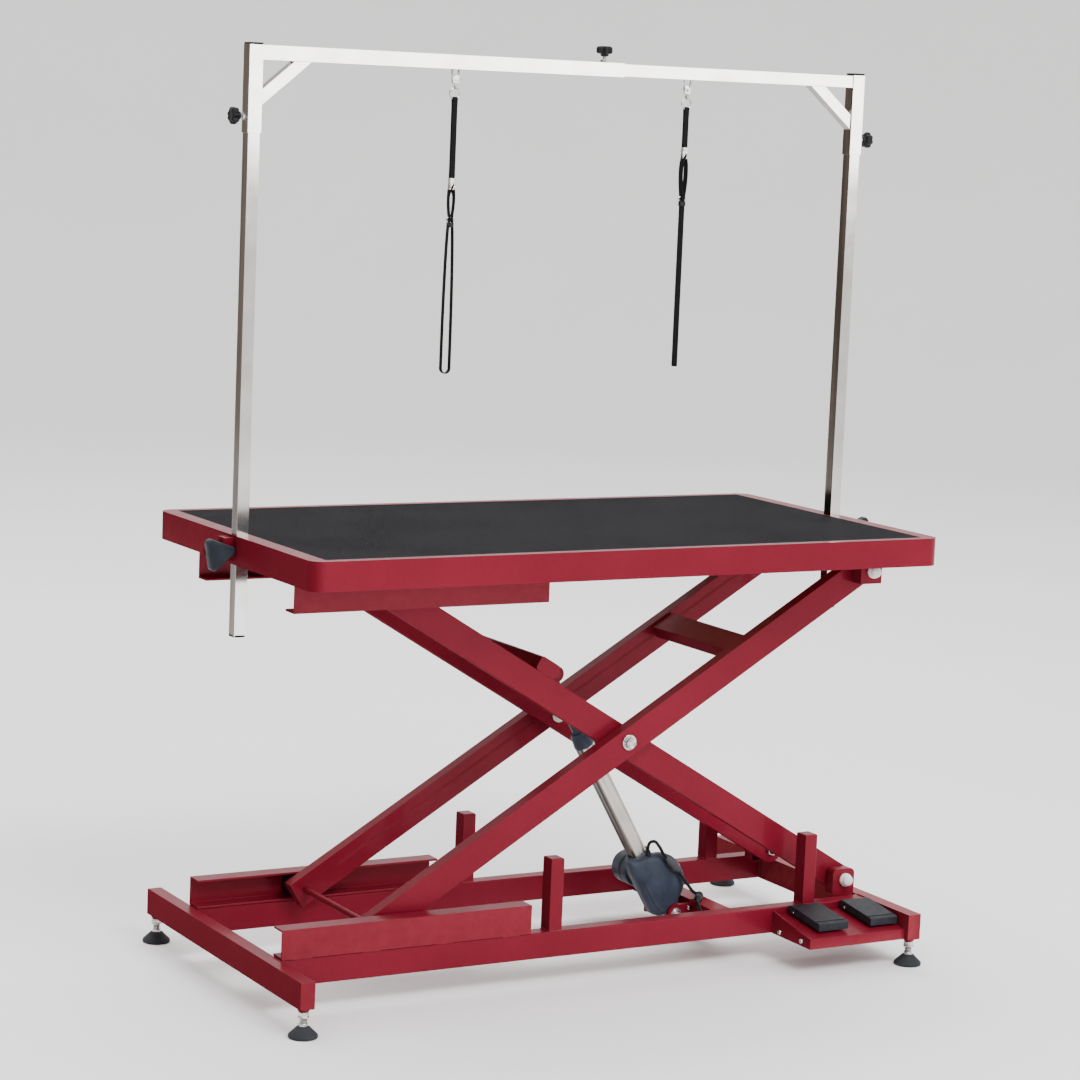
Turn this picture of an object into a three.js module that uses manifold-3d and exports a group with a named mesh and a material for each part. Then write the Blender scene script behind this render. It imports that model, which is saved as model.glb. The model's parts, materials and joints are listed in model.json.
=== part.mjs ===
// Electric grooming table: welded base, scissor lift driven by a linear actuator, tabletop with a
// non-slip mat, and an adjustable overhead frame that carries two leashes.
// Millimetres. +Z up, +X towards the pedal end, -Y towards the person who works at the table.
// The origin is on the floor, under the middle of the tabletop.
import * as THREE from 'three';
import { mergeVertices } from 'three/addons/utils/BufferGeometryUtils.js';
import Module from 'manifold-3d';

const wasm = await Module();
wasm.setup();

// ---- driving dimensions ----
const GAP = 0.3;                                   // left between pieces that touch

const TABLE = { length: 1250, width: 650, top: 793, rim: 50, wall: 3.7, corner: 25 };
const FLANGE = { thick: 4, side: 18, end: 30 };    // top flange of the rim
const BOARD = { thick: 14, mat: 3.6 };
const BASE = { bottom: 50, top: 97, railX: 598.7, railIn: 165, railOut: 195 };
const CROSS = { in: 599, out: 626, y: 330 };       // cross tubes under the two ends
const BASE_CHANNEL = { x0: -600, x1: -120, in: 162, out: 197, z0: 97.3, z1: 149, wall: 4 };
const TOP_CHANNEL = { x0: -598, x1: -113, in: 165, out: 200, z0: 687, z1: 743, wall: 4, roof: 8 };
const STOP = { side: 26, top: 228, front: [-70, 468], rear: [-54, 485] };
const PIVOT = { x: 580, low: 123, high: 713 };     // the two fixed scissor pivots
const BASE_BRACKET = { x0: 553, x1: 601, z0: 93, z1: 144, round: 10, in: 126.5, out: 150, sheet: 4 };
const TABLE_BRACKET = { x0: 553, x1: 600, z0: 690, in: 157, out: 185, sheet: 4 };
const ARM = { half: 573, depth: 50, tail: 22, angle: THREE.MathUtils.degToRad(31) };
const INNER = [100, 125];                          // distance of the arms from the middle plane
const OUTER = [130, 155];
const ROLLER = { r: 21, bore: 6.4, in: 168, out: 192 };
const PIN = { r: 8, hole: 8.3, cap: 12.5, dome: 10.5 };
const BOLT = { r: 6, hole: 6.4, washer: 14, head: 11 };
const LIFT_BEAM = { s0: 182, s1: 226, n0: 25.3, n1: 51.8, y: 125 };
const LIFT_EAR = { s: 125, n: 48, r: 15, hole: 7, in: 22, out: 30 };
const CROSS_BEAM = { s0: 262, s1: 310, n0: -4, n1: 21, y: 129.7 };
const ACT = { foot: [276, 60], pin: 7, tube: 32, tubeFrom: 125, tubeTo: 374, gland: 19, glandTo: 402 };
const ROD = { r: 10, from: 250, eye: 12, eyeHalf: 12 };
const CAN = { x: 235, z: 128, r: 31, y0: 34, y1: 80 };
const GEARBOX = { x: 252, z: 117, r: 34, front: -35, cover: -11, back: 35, lug: 13,
  collar: 21, collarFrom: 80, collarTo: 129 };
const MOUNT = { x0: 310, x1: 350, z1: 80, plate: 4.3, earIn: 36, earOut: 44 };
const FOOT = { x: 612.5, y: 315, pad: 25, rim: 5, neck: 11, padTop: 19, stem: 6.25, hole: 6.6, stemTop: 66, holeTop: 85 };
const DECK = { z0: 743.3, left: [-580, -540], middle: [-150, -40], right: [453, 596], y: 320 };
const PLATFORM = { x0: 390, y0: -320, sheet: 3, rear: 84, front: 69, sideRear: 92, sideFront: 67 };
const PEDAL = { left: [420, 485], right: [534, 594], y0: -302, y1: -199, lift: 4, r: 9,
  crest: 102, back: 101, frontEdge: 91, front: 87 };
const POST = { x: 610, side: 22, wall: 1.5, bottom: 617, top: 1600 };
const SLEEVE = { side: 25, hollow: 22.6, bottom: 1470, top: 1616.5 };
const BAR_LEFT_END = 103.5;
const BAR_RIGHT_START = -50;
const BRACE = { side: 20, postZ: 1519, barX: 508 };
const STAR = { r: 13.2, lobe: 1.8, lobes: 7, side: 1498, topX: 67.5, topZ: 1645 };
const LUG = { face: 643, half: 14, flats: [[-8, 2], [8, 16]] };       // ears round the clamp screw
const CLAMP = { x: 657.5, z: 764, r: 30.5, y0: -25, y1: -9, screw: 4, hole: 4.5,
  lean: THREE.MathUtils.degToRad(10) };
const LEASH = { left: -229, right: 243, pin: 2.5, ring: 9.5, wire: 1.8, jaw: 8.5, slot: 12 };
const CABLE = 3;                                   // radius of the actuator's cable

// ---- places worked out from them ----
const END_X = TABLE.length / 2;
const SIDE_Y = TABLE.width / 2;
const RIM_BOTTOM = TABLE.top - TABLE.rim;
const BOARD_TOP = TABLE.top - FLANGE.thick - GAP;
const BOARD_BOTTOM = BOARD_TOP - BOARD.thick;
const CENTRE = new THREE.Vector3(
  PIVOT.x - ARM.half * Math.cos(ARM.angle), 0, (PIVOT.low + PIVOT.high) / 2);
const ROLLER_X = PIVOT.x - 2 * ARM.half * Math.cos(ARM.angle);
const BAR_Z = SLEEVE.top - SLEEVE.side / 2;
const CENTRE_TO_EYE = new THREE.Vector2(-LIFT_EAR.s, LIFT_EAR.n);
const EYE = new THREE.Vector2(
  CENTRE.x + CENTRE_TO_EYE.x * Math.cos(ARM.angle) + CENTRE_TO_EYE.y * Math.sin(ARM.angle),
  CENTRE.z - CENTRE_TO_EYE.x * Math.sin(ARM.angle) + CENTRE_TO_EYE.y * Math.cos(ARM.angle));
const ACT_VECTOR = EYE.clone().sub(new THREE.Vector2(...ACT.foot));
const ACT_LENGTH = ACT_VECTOR.length();

// ---- materials ----
const finish = (color, roughness, metalness) =>
  () => new THREE.MeshStandardMaterial({ color, roughness, metalness });
const redPaint = finish(0x8f2438, 0.32, 0.35);
const stainless = finish(0xc9c6c0, 0.18, 1);
const zinc = finish(0xb9b9b6, 0.3, 1);
const greyTube = finish(0xa9a39b, 0.35, 0.9);
const navyPlastic = finish(0x23262e, 0.5, 0);
const blackPlastic = finish(0x151517, 0.5, 0);
const blackRubber = finish(0x222224, 0.85, 0);
const whiteNylon = finish(0xe9e7e0, 0.45, 0);
const blackWebbing = finish(0x0e0e10, 0.9, 0);
const plywood = finish(0x8a6a48, 0.7, 0);

// ---- solids ----
function solid(geometry) {
  const bare = geometry.index ? geometry.toNonIndexed() : geometry.clone();
  bare.deleteAttribute('normal');
  bare.deleteAttribute('uv');
  const merged = mergeVertices(bare, 1e-4);
  return new wasm.Manifold(new wasm.Mesh({
    numProp: 3,
    vertProperties: new Float32Array(merged.attributes.position.array),
    triVerts: new Uint32Array(merged.index.array),
  }));
}

function geometryOf(manifold) {
  const { vertProperties, triVerts } = manifold.getMesh();
  const geometry = new THREE.BufferGeometry();
  geometry.setAttribute('position', new THREE.BufferAttribute(vertProperties, 3));
  geometry.setIndex(new THREE.BufferAttribute(triVerts, 1));
  geometry.computeVertexNormals();
  return geometry;
}

const join = (first, ...rest) => rest.reduce((whole, next) => whole.add(next), first);
const cut = (first, ...rest) => rest.reduce((whole, next) => whole.subtract(next), first);

function block(x0, x1, y0, y1, z0, z1) {
  const box = new THREE.BoxGeometry(x1 - x0, y1 - y0, z1 - z0);
  return solid(box.translate((x0 + x1) / 2, (y0 + y1) / 2, (z0 + z1) / 2));
}

// A square bar centred on (x, y), standing between two heights.
const upright = (x, y, side, z0, z1) =>
  block(x - side / 2, x + side / 2, y - side / 2, y + side / 2, z0, z1);

// A square bar centred on y = 0 and a height, lying between two x.
const level = (x0, x1, side, z) =>
  block(x0, x1, -side / 2, side / 2, z - side / 2, z + side / 2);

function roundX(r, x0, x1, y, z, sides = 16) {
  const bar = new THREE.CylinderGeometry(r, r, x1 - x0, sides).rotateZ(Math.PI / 2);
  return solid(bar.translate((x0 + x1) / 2, y, z));
}

function roundY(r, y0, y1, x, z, sides = 16) {
  const bar = new THREE.CylinderGeometry(r, r, y1 - y0, sides);
  return solid(bar.translate(x, (y0 + y1) / 2, z));
}

function roundZ(r, z0, z1, x, y, sides = 16) {
  const bar = new THREE.CylinderGeometry(r, r, z1 - z0, sides).rotateX(Math.PI / 2);
  return solid(bar.translate(x, y, (z0 + z1) / 2));
}

// An outline in (x, z), given thickness along Y.
function slabY(shape, y0, y1, curveSegments = 8) {
  const slab = new THREE.ExtrudeGeometry(shape, { depth: y1 - y0, bevelEnabled: false, curveSegments });
  return solid(slab.rotateX(Math.PI / 2).translate(0, y1, 0));
}

// An outline in (y, z), given thickness along X.
function slabX(shape, x0, x1, curveSegments = 8) {
  const slab = new THREE.ExtrudeGeometry(shape, { depth: x1 - x0, bevelEnabled: false, curveSegments });
  return solid(slab.rotateX(Math.PI / 2).rotateZ(Math.PI / 2).translate(x0, 0, 0));
}

// An outline in (x, y), given thickness along Z.
function slabZ(shape, z0, z1, curveSegments = 8) {
  const slab = new THREE.ExtrudeGeometry(shape, { depth: z1 - z0, bevelEnabled: false, curveSegments });
  return solid(slab.translate(0, 0, z0));
}

const outline = (...points) => new THREE.Shape(points.map(([a, b]) => new THREE.Vector2(a, b)));

function roundedRectangle(x0, x1, y0, y1, r) {
  const shape = new THREE.Shape();
  shape.absarc(x1 - r, y0 + r, r, -Math.PI / 2, 0);
  shape.absarc(x1 - r, y1 - r, r, 0, Math.PI / 2);
  shape.absarc(x0 + r, y1 - r, r, Math.PI / 2, Math.PI);
  shape.absarc(x0 + r, y0 + r, r, Math.PI, Math.PI * 1.5);
  return shape;
}

// ---- the assembly ----
const table = new THREE.Group();

function add(name, manifold, material, parent = table) {
  const mesh = new THREE.Mesh(geometryOf(manifold), material());
  mesh.name = name;
  parent.add(mesh);
}

const SIDES = [['front', -1], ['rear', 1]];
const ENDS = [['left', -1], ['right', 1]];
const between = (sign, a, b) => (sign < 0 ? [-b, -a] : [a, b]);

// ---- base ----
function pivotBracket(sign) {
  const { x0, x1, z0, z1, round, in: inner, out, sheet } = BASE_BRACKET;
  const [y0, y1] = between(sign, inner, out);
  const side = roundedRectangle(x0, x1, z0, z1, round);
  const corner = block(x1 - round - 1, x1, y0, y1, z0 - 3, BASE.top + 3);
  const pocket = between(sign, inner - sheet - 2, out - sheet);
  return cut(join(slabY(side, y0, y1), corner),
    block(x0 + sheet, x1 - sheet, ...pocket, BASE.top + 1, z1 - sheet), roundY(PIN.hole, y0 - 1, y1 + 1, PIVOT.x, PIVOT.low));
}

function crossTube(sign) {
  const [x0, x1] = between(sign, CROSS.in, CROSS.out);
  const x = sign * FOOT.x;
  let tube = block(x0, x1, -CROSS.y, CROSS.y, BASE.bottom, BASE.top);
  for (const y of [-FOOT.y, FOOT.y]) tube = join(tube, roundZ(8, 44, BASE.bottom + 1, x, y));
  for (const y of [-FOOT.y, FOOT.y]) tube = cut(tube, roundZ(FOOT.hole, 43, FOOT.holeTop, x, y, 16));
  return tube;
}

add('base_cross_tube_left', crossTube(-1), redPaint);
add('base_cross_tube_right', join(crossTube(1), pivotBracket(-1), pivotBracket(1)), redPaint);

for (const [side, sign] of SIDES) {
  const [y0, y1] = between(sign, BASE.railIn, BASE.railOut);
  let rail = block(-BASE.railX, BASE.railX, y0, y1, BASE.bottom, BASE.top);
  for (const x of STOP[side]) {
    rail = join(rail, block(x - STOP.side / 2, x + STOP.side / 2, y0, y1, BASE.top - 1, STOP.top));
  }
  add(`base_rail_${side}`, rail, redPaint);
}

// A rolled channel with its web outside and its mouth towards the middle.
function channel({ x0, x1, in: inner, out, z0, z1, wall, roof = wall }, sign) {
  const whole = block(x0, x1, ...between(sign, inner, out), z0, z1);
  return cut(whole, block(x0 - 1, x1 + 1, ...between(sign, inner - 1, out - wall), z0 + wall, z1 - roof));
}
for (const [side, sign] of SIDES) add(`base_channel_${side}`, channel(BASE_CHANNEL, sign), redPaint);

function actuatorMount() {
  const [x, z] = ACT.foot;
  const ear = new THREE.Shape();
  ear.moveTo(MOUNT.x0 + 1, 44);
  ear.lineTo(MOUNT.x0 + 1, 76);
  ear.absarc(x, z, 16, Math.PI / 2, Math.PI);
  ear.lineTo(x - 16, 44);
  let mount = block(MOUNT.x0, MOUNT.x1, -BASE.railIn + GAP, BASE.railIn - GAP, BASE.bottom, MOUNT.z1);
  mount = join(mount, block(MOUNT.x0 - 5, MOUNT.x0 + 1, -MOUNT.earOut, MOUNT.earOut, 44, MOUNT.z1 + 2),
    block(MOUNT.x0 - 5, MOUNT.x1 - 9, -MOUNT.earOut, MOUNT.earOut, MOUNT.z1 - 1, MOUNT.z1 + MOUNT.plate));
  for (const [, sign] of SIDES) mount = join(mount, slabY(ear, ...between(sign, MOUNT.earIn, MOUNT.earOut)));
  return cut(mount, roundY(ACT.pin + GAP, -50, 50, x, z, 16));
}
add('actuator_mount', actuatorMount(), redPaint);
add('actuator_base_pin', join(roundY(ACT.pin, -48, 48, ...ACT.foot, 16),
  roundY(11, -51, -MOUNT.earOut - GAP, ...ACT.foot, 6),
  roundY(11, MOUNT.earOut + GAP, 51, ...ACT.foot, 6)), zinc);

function pedalPlatform() {
  const { x0, y0, sheet, rear, front, sideRear, sideFront } = PLATFORM;
  const x1 = BASE.railX;
  const y1 = -BASE.railOut - GAP;
  const top = outline([y0, front - sheet], [y1, rear - sheet], [y1, rear], [y0, front]);
  const wall = outline([y0, BASE.bottom], [y1, BASE.bottom], [y1, sideRear], [y0, sideFront]);
  return join(slabX(top, x0, x1), block(x0, x1, y0, y0 + sheet, BASE.bottom, front - 1),
    slabX(wall, x0, x0 + sheet), slabX(wall, x1 - sheet, x1));
}
add('pedal_platform', pedalPlatform(), redPaint);

for (const [side, sign] of SIDES) {
  const rings = [
    [PIN.r, 92, 152],
    [PIN.cap - 0.5, 91, INNER[0] - GAP],
    [PIN.cap, 150 + GAP, 156],
    [PIN.dome, 155, 166],
  ];
  const parts = rings.map(([r, a, b]) => roundY(r, ...between(sign, a, b), PIVOT.x, PIVOT.low, 16));
  add(`base_pivot_pin_${side}`, join(...parts), whiteNylon);
}

// ---- feet ----
function foot(x, y) {
  const { pad, rim, neck, padTop, stem, stemTop } = FOOT;
  const half = [[0, 0], [pad, 0], [pad, rim], [neck, padTop], [stem, padTop + 2], [stem, stemTop], [0, stemTop]];
  const profile = half.map(([r, z]) => new THREE.Vector2(r, z));
  const turned = new THREE.LatheGeometry(profile, 20).rotateX(Math.PI / 2).translate(x, y, 0);
  return join(solid(turned), roundZ(9.2, 36, 44 - GAP, x, y, 6));
}
for (const [end, sx] of ENDS) {
  for (const [side, sy] of SIDES) add(`foot_${side}_${end}`, foot(sx * FOOT.x, sy * FOOT.y), blackRubber);
}

// ---- pedals ----
function pedal([x0, x1]) {
  const slope = (PLATFORM.rear - PLATFORM.front) / (-BASE.railOut - GAP - PLATFORM.y0);
  const deck = (y) => PLATFORM.front + slope * (y - PLATFORM.y0);
  const { y0, y1, lift, crest, back, frontEdge, front } = PEDAL;
  const side = outline([y0, deck(y0) + lift], [y1, deck(y1) + lift], [y1, back], [y1 - 10, crest],
    [y0 + 8, frontEdge], [y0, front]);
  const plan = slabZ(roundedRectangle(x0, x1, y0, y1, PEDAL.r), BASE.bottom, crest + 1);
  return slabX(side, x0, x1).intersect(plan);
}
for (const [end] of ENDS) add(`pedal_${end}`, pedal(PEDAL[end]), blackPlastic);

// ---- scissor arms: each pair has its own group, with +X from the rollers to the pivot ----
const innerArms = new THREE.Group();
const outerArms = new THREE.Group();
for (const [group, turn] of [[innerArms, 1], [outerArms, -1]]) {
  group.position.copy(CENTRE);
  group.rotation.y = turn * ARM.angle;
  table.add(group);
}

function arm(y0, y1, pivotHole, rollerHole) {
  const half = ARM.depth / 2;
  const shape = new THREE.Shape();
  shape.moveTo(-ARM.half - ARM.tail, -half);
  shape.lineTo(ARM.half, -half);
  shape.absarc(ARM.half, 0, half, -Math.PI / 2, Math.PI / 2);
  shape.lineTo(-ARM.half - ARM.tail, half);
  const holes = [roundY(BOLT.hole, y0 - 1, y1 + 1, 0, 0, 16),
    roundY(pivotHole, y0 - 1, y1 + 1, ARM.half, 0, 16)];
  if (rollerHole) holes.push(roundY(rollerHole, y0 - 1, y1 + 1, -ARM.half, 0, 16));
  return cut(slabY(shape, y0, y1, 10), ...holes);
}

for (const [side, sign] of SIDES) {
  const stub = roundY(BOLT.r, ...between(sign, INNER[1] - 2, ROLLER.out - 1), -ARM.half, 0, 16);
  const inner = join(arm(...between(sign, ...INNER), PIN.hole), stub);
  add(`inner_arm_${side}`, inner, redPaint, innerArms);
  add(`outer_arm_${side}`, arm(...between(sign, ...OUTER), PIN.hole, BOLT.hole), redPaint, outerArms);
  const rings = [
    [BOLT.r, 90, 160, 24],
    [12, 88, INNER[0] - GAP, 24],
    [BOLT.washer, OUTER[1] + GAP, 158, 24],
    [BOLT.head, 157, 165, 6],
  ];
  const bolt = rings.map(([r, a, b, n]) => roundY(r, ...between(sign, a, b), 0, 0, n));
  add(`centre_bolt_${side}`, join(...bolt), zinc, outerArms);
}

function liftBeam() {
  const { s0, s1, n0, n1, y } = LIFT_BEAM;
  const beam = slabY(roundedRectangle(-s1, -s0, n0, n1, 6), -y, y);
  const ear = new THREE.Shape();
  ear.moveTo(-s0 - 4, n0 + 1);
  ear.lineTo(-LIFT_EAR.s, LIFT_EAR.n - LIFT_EAR.r);
  ear.absarc(-LIFT_EAR.s, LIFT_EAR.n, LIFT_EAR.r, -Math.PI / 2, Math.PI / 2);
  ear.lineTo(-s0 - 4, n1 - 2);
  const ears = SIDES.map(([, sign]) => slabY(ear, ...between(sign, LIFT_EAR.in, LIFT_EAR.out)));
  const hole = roundY(LIFT_EAR.hole, -40, 40, -LIFT_EAR.s, LIFT_EAR.n, 16);
  return cut(join(beam, ...ears), hole);
}
add('lift_beam', liftBeam(), redPaint, innerArms);

const { s0, s1, n0, n1, y: crossHalf } = CROSS_BEAM;
add('outer_cross_beam', block(s0, s1, -crossHalf, crossHalf, n0, n1), redPaint, outerArms);
add('lower_axle', roundY(BOLT.r, -ROLLER.out + 1, ROLLER.out - 1, -ARM.half, 0, 16), redPaint, outerArms);

function roller(sign, z) {
  const [y0, y1] = between(sign, ROLLER.in, ROLLER.out);
  return cut(roundY(ROLLER.r, y0, y1, ROLLER_X, z, 24), roundY(ROLLER.bore, y0 - 1, y1 + 1, ROLLER_X, z, 16));
}
for (const [side, sign] of SIDES) {
  add(`base_roller_${side}`, roller(sign, PIVOT.low), blackPlastic);
  add(`top_roller_${side}`, roller(sign, PIVOT.high), blackPlastic);
}

// ---- linear actuator: its own group, with +X from the foot pin to the rod eye ----
const actuator = new THREE.Group();
actuator.position.set(ACT.foot[0], 0, ACT.foot[1]);
actuator.rotation.y = -ACT_VECTOR.angle();
table.add(actuator);

function motorHousing() {
  const [x, z] = ACT.foot;
  const shape = new THREE.Shape();
  shape.moveTo(179, 162);
  shape.quadraticCurveTo(180, 146, 194, 123);
  shape.lineTo(226, 69);
  shape.quadraticCurveTo(238, 52, 256, 54);
  shape.quadraticCurveTo(272, 58, 282, 73);
  shape.quadraticCurveTo(297, 92, 300, 106);
  shape.quadraticCurveTo(302, 124, 293, 142);
  shape.quadraticCurveTo(284, 158, 275, 163);
  shape.quadraticCurveTo(262, 172, 250, 172);
  shape.lineTo(221, 170);
  const lug = outline([x - 10, z], [x + 10, z], [x + 10, z + 40], [x - 10, z + 40]);
  const seat = block(ACT.tubeFrom - GAP, ACT.tubeTo, -ACT.tube / 2 - GAP, ACT.tube / 2 + GAP,
    -ACT.tube / 2 - GAP, ACT.tube / 2 + GAP);
  const turned = seat.rotate([0, -THREE.MathUtils.radToDeg(ACT_VECTOR.angle()), 0]).translate([x, 0, z]);
  const { collar, collarFrom, collarTo } = GEARBOX;
  const sleeve = block(collarFrom, collarTo, -collar, collar, -collar, collar)
    .rotate([0, -THREE.MathUtils.radToDeg(ACT_VECTOR.angle()), 0]).translate([x, 0, z]);
  const body = join(slabY(shape, GEARBOX.front, GEARBOX.cover), sleeve, slabY(lug, -30, 30), roundY(13, -30, 30, x, z, 16),
    roundY(GEARBOX.r, GEARBOX.cover - 1, GEARBOX.back, GEARBOX.x, GEARBOX.z, 24),
    roundY(CAN.r, CAN.y0, CAN.y1, CAN.x, CAN.z, 24));
  return cut(body, turned, roundY(ACT.pin + GAP, -40, 40, x, z, 16));
}
add('motor_housing', motorHousing(), navyPlastic);

function actuatorTube() {
  const { tube, tubeFrom, tubeTo, gland, glandTo } = ACT;
  const half = tube / 2;
  const section = slabX(roundedRectangle(-half, half, -half, half, 7), tubeFrom, tubeTo, 4);
  return cut(join(section, roundX(gland, tubeTo - 1, glandTo, 0, 0, 24)),
    roundX(ROD.r + 1, tubeFrom + 3, glandTo + 1, 0, 0, 16));
}
add('actuator_tube', actuatorTube(), greyTube, actuator);

const rodBar = join(roundX(ROD.r, ROD.from, ACT_LENGTH - 8, 0, 0, 16),
  roundY(ROD.eye, -ROD.eyeHalf, ROD.eyeHalf, ACT_LENGTH, 0, 16));
add('actuator_rod', cut(rodBar, roundY(LIFT_EAR.hole, -20, 20, ACT_LENGTH, 0, 16)), zinc, actuator);

// ---- tabletop ----
function tableRim() {
  const { wall, corner, top } = TABLE;
  const outer = roundedRectangle(-END_X, END_X, -SIDE_Y, SIDE_Y, corner);
  const inner = roundedRectangle(-END_X + wall, END_X - wall, -SIDE_Y + wall, SIDE_Y - wall, corner - wall);
  const mouth = roundedRectangle(-END_X + FLANGE.end, END_X - FLANGE.end,
    -SIDE_Y + FLANGE.side, SIDE_Y - FLANGE.side, 6);
  let rim = cut(slabZ(outer, RIM_BOTTOM, top), slabZ(inner, RIM_BOTTOM - 1, top - FLANGE.thick),
    slabZ(mouth, top - FLANGE.thick - 1, top + 1));
  for (const [, sign] of ENDS) {
    rim = cut(rim, upright(sign * POST.x, 0, POST.side + 2 * GAP, RIM_BOTTOM, top + 1));
    for (const flat of LUG.flats) rim = join(rim, clampLug(sign, ...flat));
  }
  return rim;
}

// An ear on the end of the rim, round the clamp screw.
function clampLug(sign, y0, y1) {
  const { x, z, hole } = CLAMP;
  const { face, half } = LUG;
  const top = TABLE.top - FLANGE.thick;
  const shape = outline([sign * (END_X - 2), z - half], [sign * x, z - half], [sign * x, z + half],
    [sign * face, z + half], [sign * face, top], [sign * (END_X - 2), top]);
  return cut(join(slabY(shape, y0, y1), roundY(half, y0, y1, sign * x, z, 20)),
    roundY(hole, y0 - 1, y1 + 1, sign * x, z, 16));
}
add('table_rim', tableRim(), redPaint);

const boardX = END_X - FLANGE.end + 2;
const boardY = SIDE_Y - TABLE.wall - GAP;
add('table_board', block(-boardX, boardX, -boardY, boardY, BOARD_BOTTOM, BOARD_TOP), plywood);
add('table_mat', slabZ(roundedRectangle(-END_X + FLANGE.end + GAP, END_X - FLANGE.end - GAP,
  -SIDE_Y + FLANGE.side + GAP, SIDE_Y - FLANGE.side - GAP, 6), BOARD_TOP + GAP,
BOARD_TOP + GAP + BOARD.mat), blackRubber);

for (const [side, sign] of SIDES) add(`top_channel_${side}`, channel(TOP_CHANNEL, sign), redPaint);

const deckTop = BOARD_BOTTOM - GAP;
const bearer = ([x0, x1]) => block(x0, x1, -DECK.y, DECK.y, DECK.z0, deckTop);
add('deck_bearer_left', bearer(DECK.left), redPaint);
add('deck_bearer_middle', cut(bearer(DECK.middle),
  block(DECK.middle[0] - 1, DECK.middle[1] + 1, -45, 45, DECK.z0 - 1, deckTop - 8)), redPaint);

function tablePivotBracket(sign) {
  const { x0, x1, z0, in: inner, out, sheet } = TABLE_BRACKET;
  const [y0, y1] = between(sign, inner, out);
  return cut(block(x0, x1, y0, y1, z0, DECK.z0 + 2),
    block(x0 + sheet, x1 - sheet, ...between(sign, inner - sheet - 3, out - sheet), z0 + sheet, DECK.z0 - sheet),
    roundY(PIN.hole, y0 - 1, y1 + 1, PIVOT.x, PIVOT.high, 16));
}
add('deck_bearer_right', join(bearer(DECK.right), tablePivotBracket(-1), tablePivotBracket(1)), redPaint);

for (const [side, sign] of SIDES) {
  const rings = [
    [PIN.r, 122, 187],
    [PIN.cap - 0.5, 121, OUTER[0] - GAP],
    [PIN.cap, 185 + GAP, 193],
    [PIN.dome, 192, 201],
  ];
  const parts = rings.map(([r, a, b]) => roundY(r, ...between(sign, a, b), PIVOT.x, PIVOT.high, 16));
  add(`table_pivot_pin_${side}`, join(...parts), whiteNylon);
}

// A rounded triangle knob on a pinch screw that runs through both ears.
function clampKnob(sign) {
  const { x, z, r, y0, y1, screw } = CLAMP;
  const shape = new THREE.Shape();
  const corner = 9;
  const reach = r - corner;
  const facing = sign < 0 ? CLAMP.lean : Math.PI - CLAMP.lean;
  for (let i = 0; i < 3; i += 1) {
    const around = facing + (i * 2 * Math.PI) / 3;
    shape.absarc(sign * x + reach * Math.cos(around), z + reach * Math.sin(around), corner,
      around - Math.PI / 3, around + Math.PI / 3);
  }
  return join(slabY(shape, y0, y1, 6), roundY(screw, y1 - 1, 20, sign * x, z, 16));
}
for (const [end, sign] of ENDS) add(`clamp_knob_${end}`, clampKnob(sign), blackPlastic);

// ---- overhead frame ----
for (const [end, sign] of ENDS) {
  const { x, side, wall, bottom, top } = POST;
  const post = cut(upright(sign * x, 0, side, bottom, top),
    upright(sign * x, 0, side - 2 * wall, bottom - 1, top + 1));
  add(`post_${end}`, post, stainless);
}

function brace(sign) {
  const drop = BAR_Z - BRACE.postZ;
  const run = POST.x - BRACE.barX;
  const length = Math.hypot(drop, run);
  const bar = new THREE.BoxGeometry(length, BRACE.side, BRACE.side);
  bar.rotateY(-Math.atan2(drop, -sign * run));
  return solid(bar.translate(sign * (POST.x + BRACE.barX) / 2, 0, (BRACE.postZ + BAR_Z) / 2));
}

// The slot under a bar, and the pin inside it that a leash hook hangs on.
const leashSlot = (x) => block(x - LEASH.slot, x + LEASH.slot, -5, 5, SLEEVE.top - SLEEVE.side - 1, BAR_Z - 8);
const leashPin = (x, half) => roundY(LEASH.pin, -half, half, x, BAR_Z - 5, 16);

function hanger(sign, barSide, barWall, barEnd, leashX) {
  const postFace = sign * (POST.x - SLEEVE.side / 2);
  const [x0, x1] = [postFace, barEnd].sort((a, b) => a - b);
  const sleeve = upright(sign * POST.x, 0, SLEEVE.side, SLEEVE.bottom, SLEEVE.top);
  const hollow = upright(sign * POST.x, 0, SLEEVE.hollow, SLEEVE.bottom - 1, SLEEVE.top + 1);
  const bore = level(x0 - (sign > 0 ? 1 : 0), x1 + (sign < 0 ? 1 : 0), barSide - 2 * barWall, BAR_Z);
  const bossX = between(sign, POST.x + SLEEVE.side / 2 - 1, POST.x + SLEEVE.side / 2 + 5);
  const body = join(sleeve, level(x0, x1, barSide, BAR_Z), brace(sign),
    roundX(6.5, ...bossX, 0, STAR.side, 16));
  const screwHole = roundX(4 + GAP, ...between(sign, POST.x, POST.x + 30), 0, STAR.side, 16);
  const open = cut(body, hollow, bore, screwHole, leashSlot(leashX));
  return join(open, leashPin(leashX, barSide / 2 - 0.5));
}

const leftHanger = join(hanger(-1, SLEEVE.side, 1.2, BAR_LEFT_END, LEASH.left),
  roundZ(7.5, SLEEVE.top - 1, SLEEVE.top + 4.5, STAR.topX, 0, 6));
add('hanger_left', cut(leftHanger, roundZ(4 + GAP, BAR_Z, SLEEVE.top + 6, STAR.topX, 0, 16)), stainless);
add('hanger_right', hanger(1, POST.side, 1.5, BAR_RIGHT_START, LEASH.right), stainless);

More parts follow.
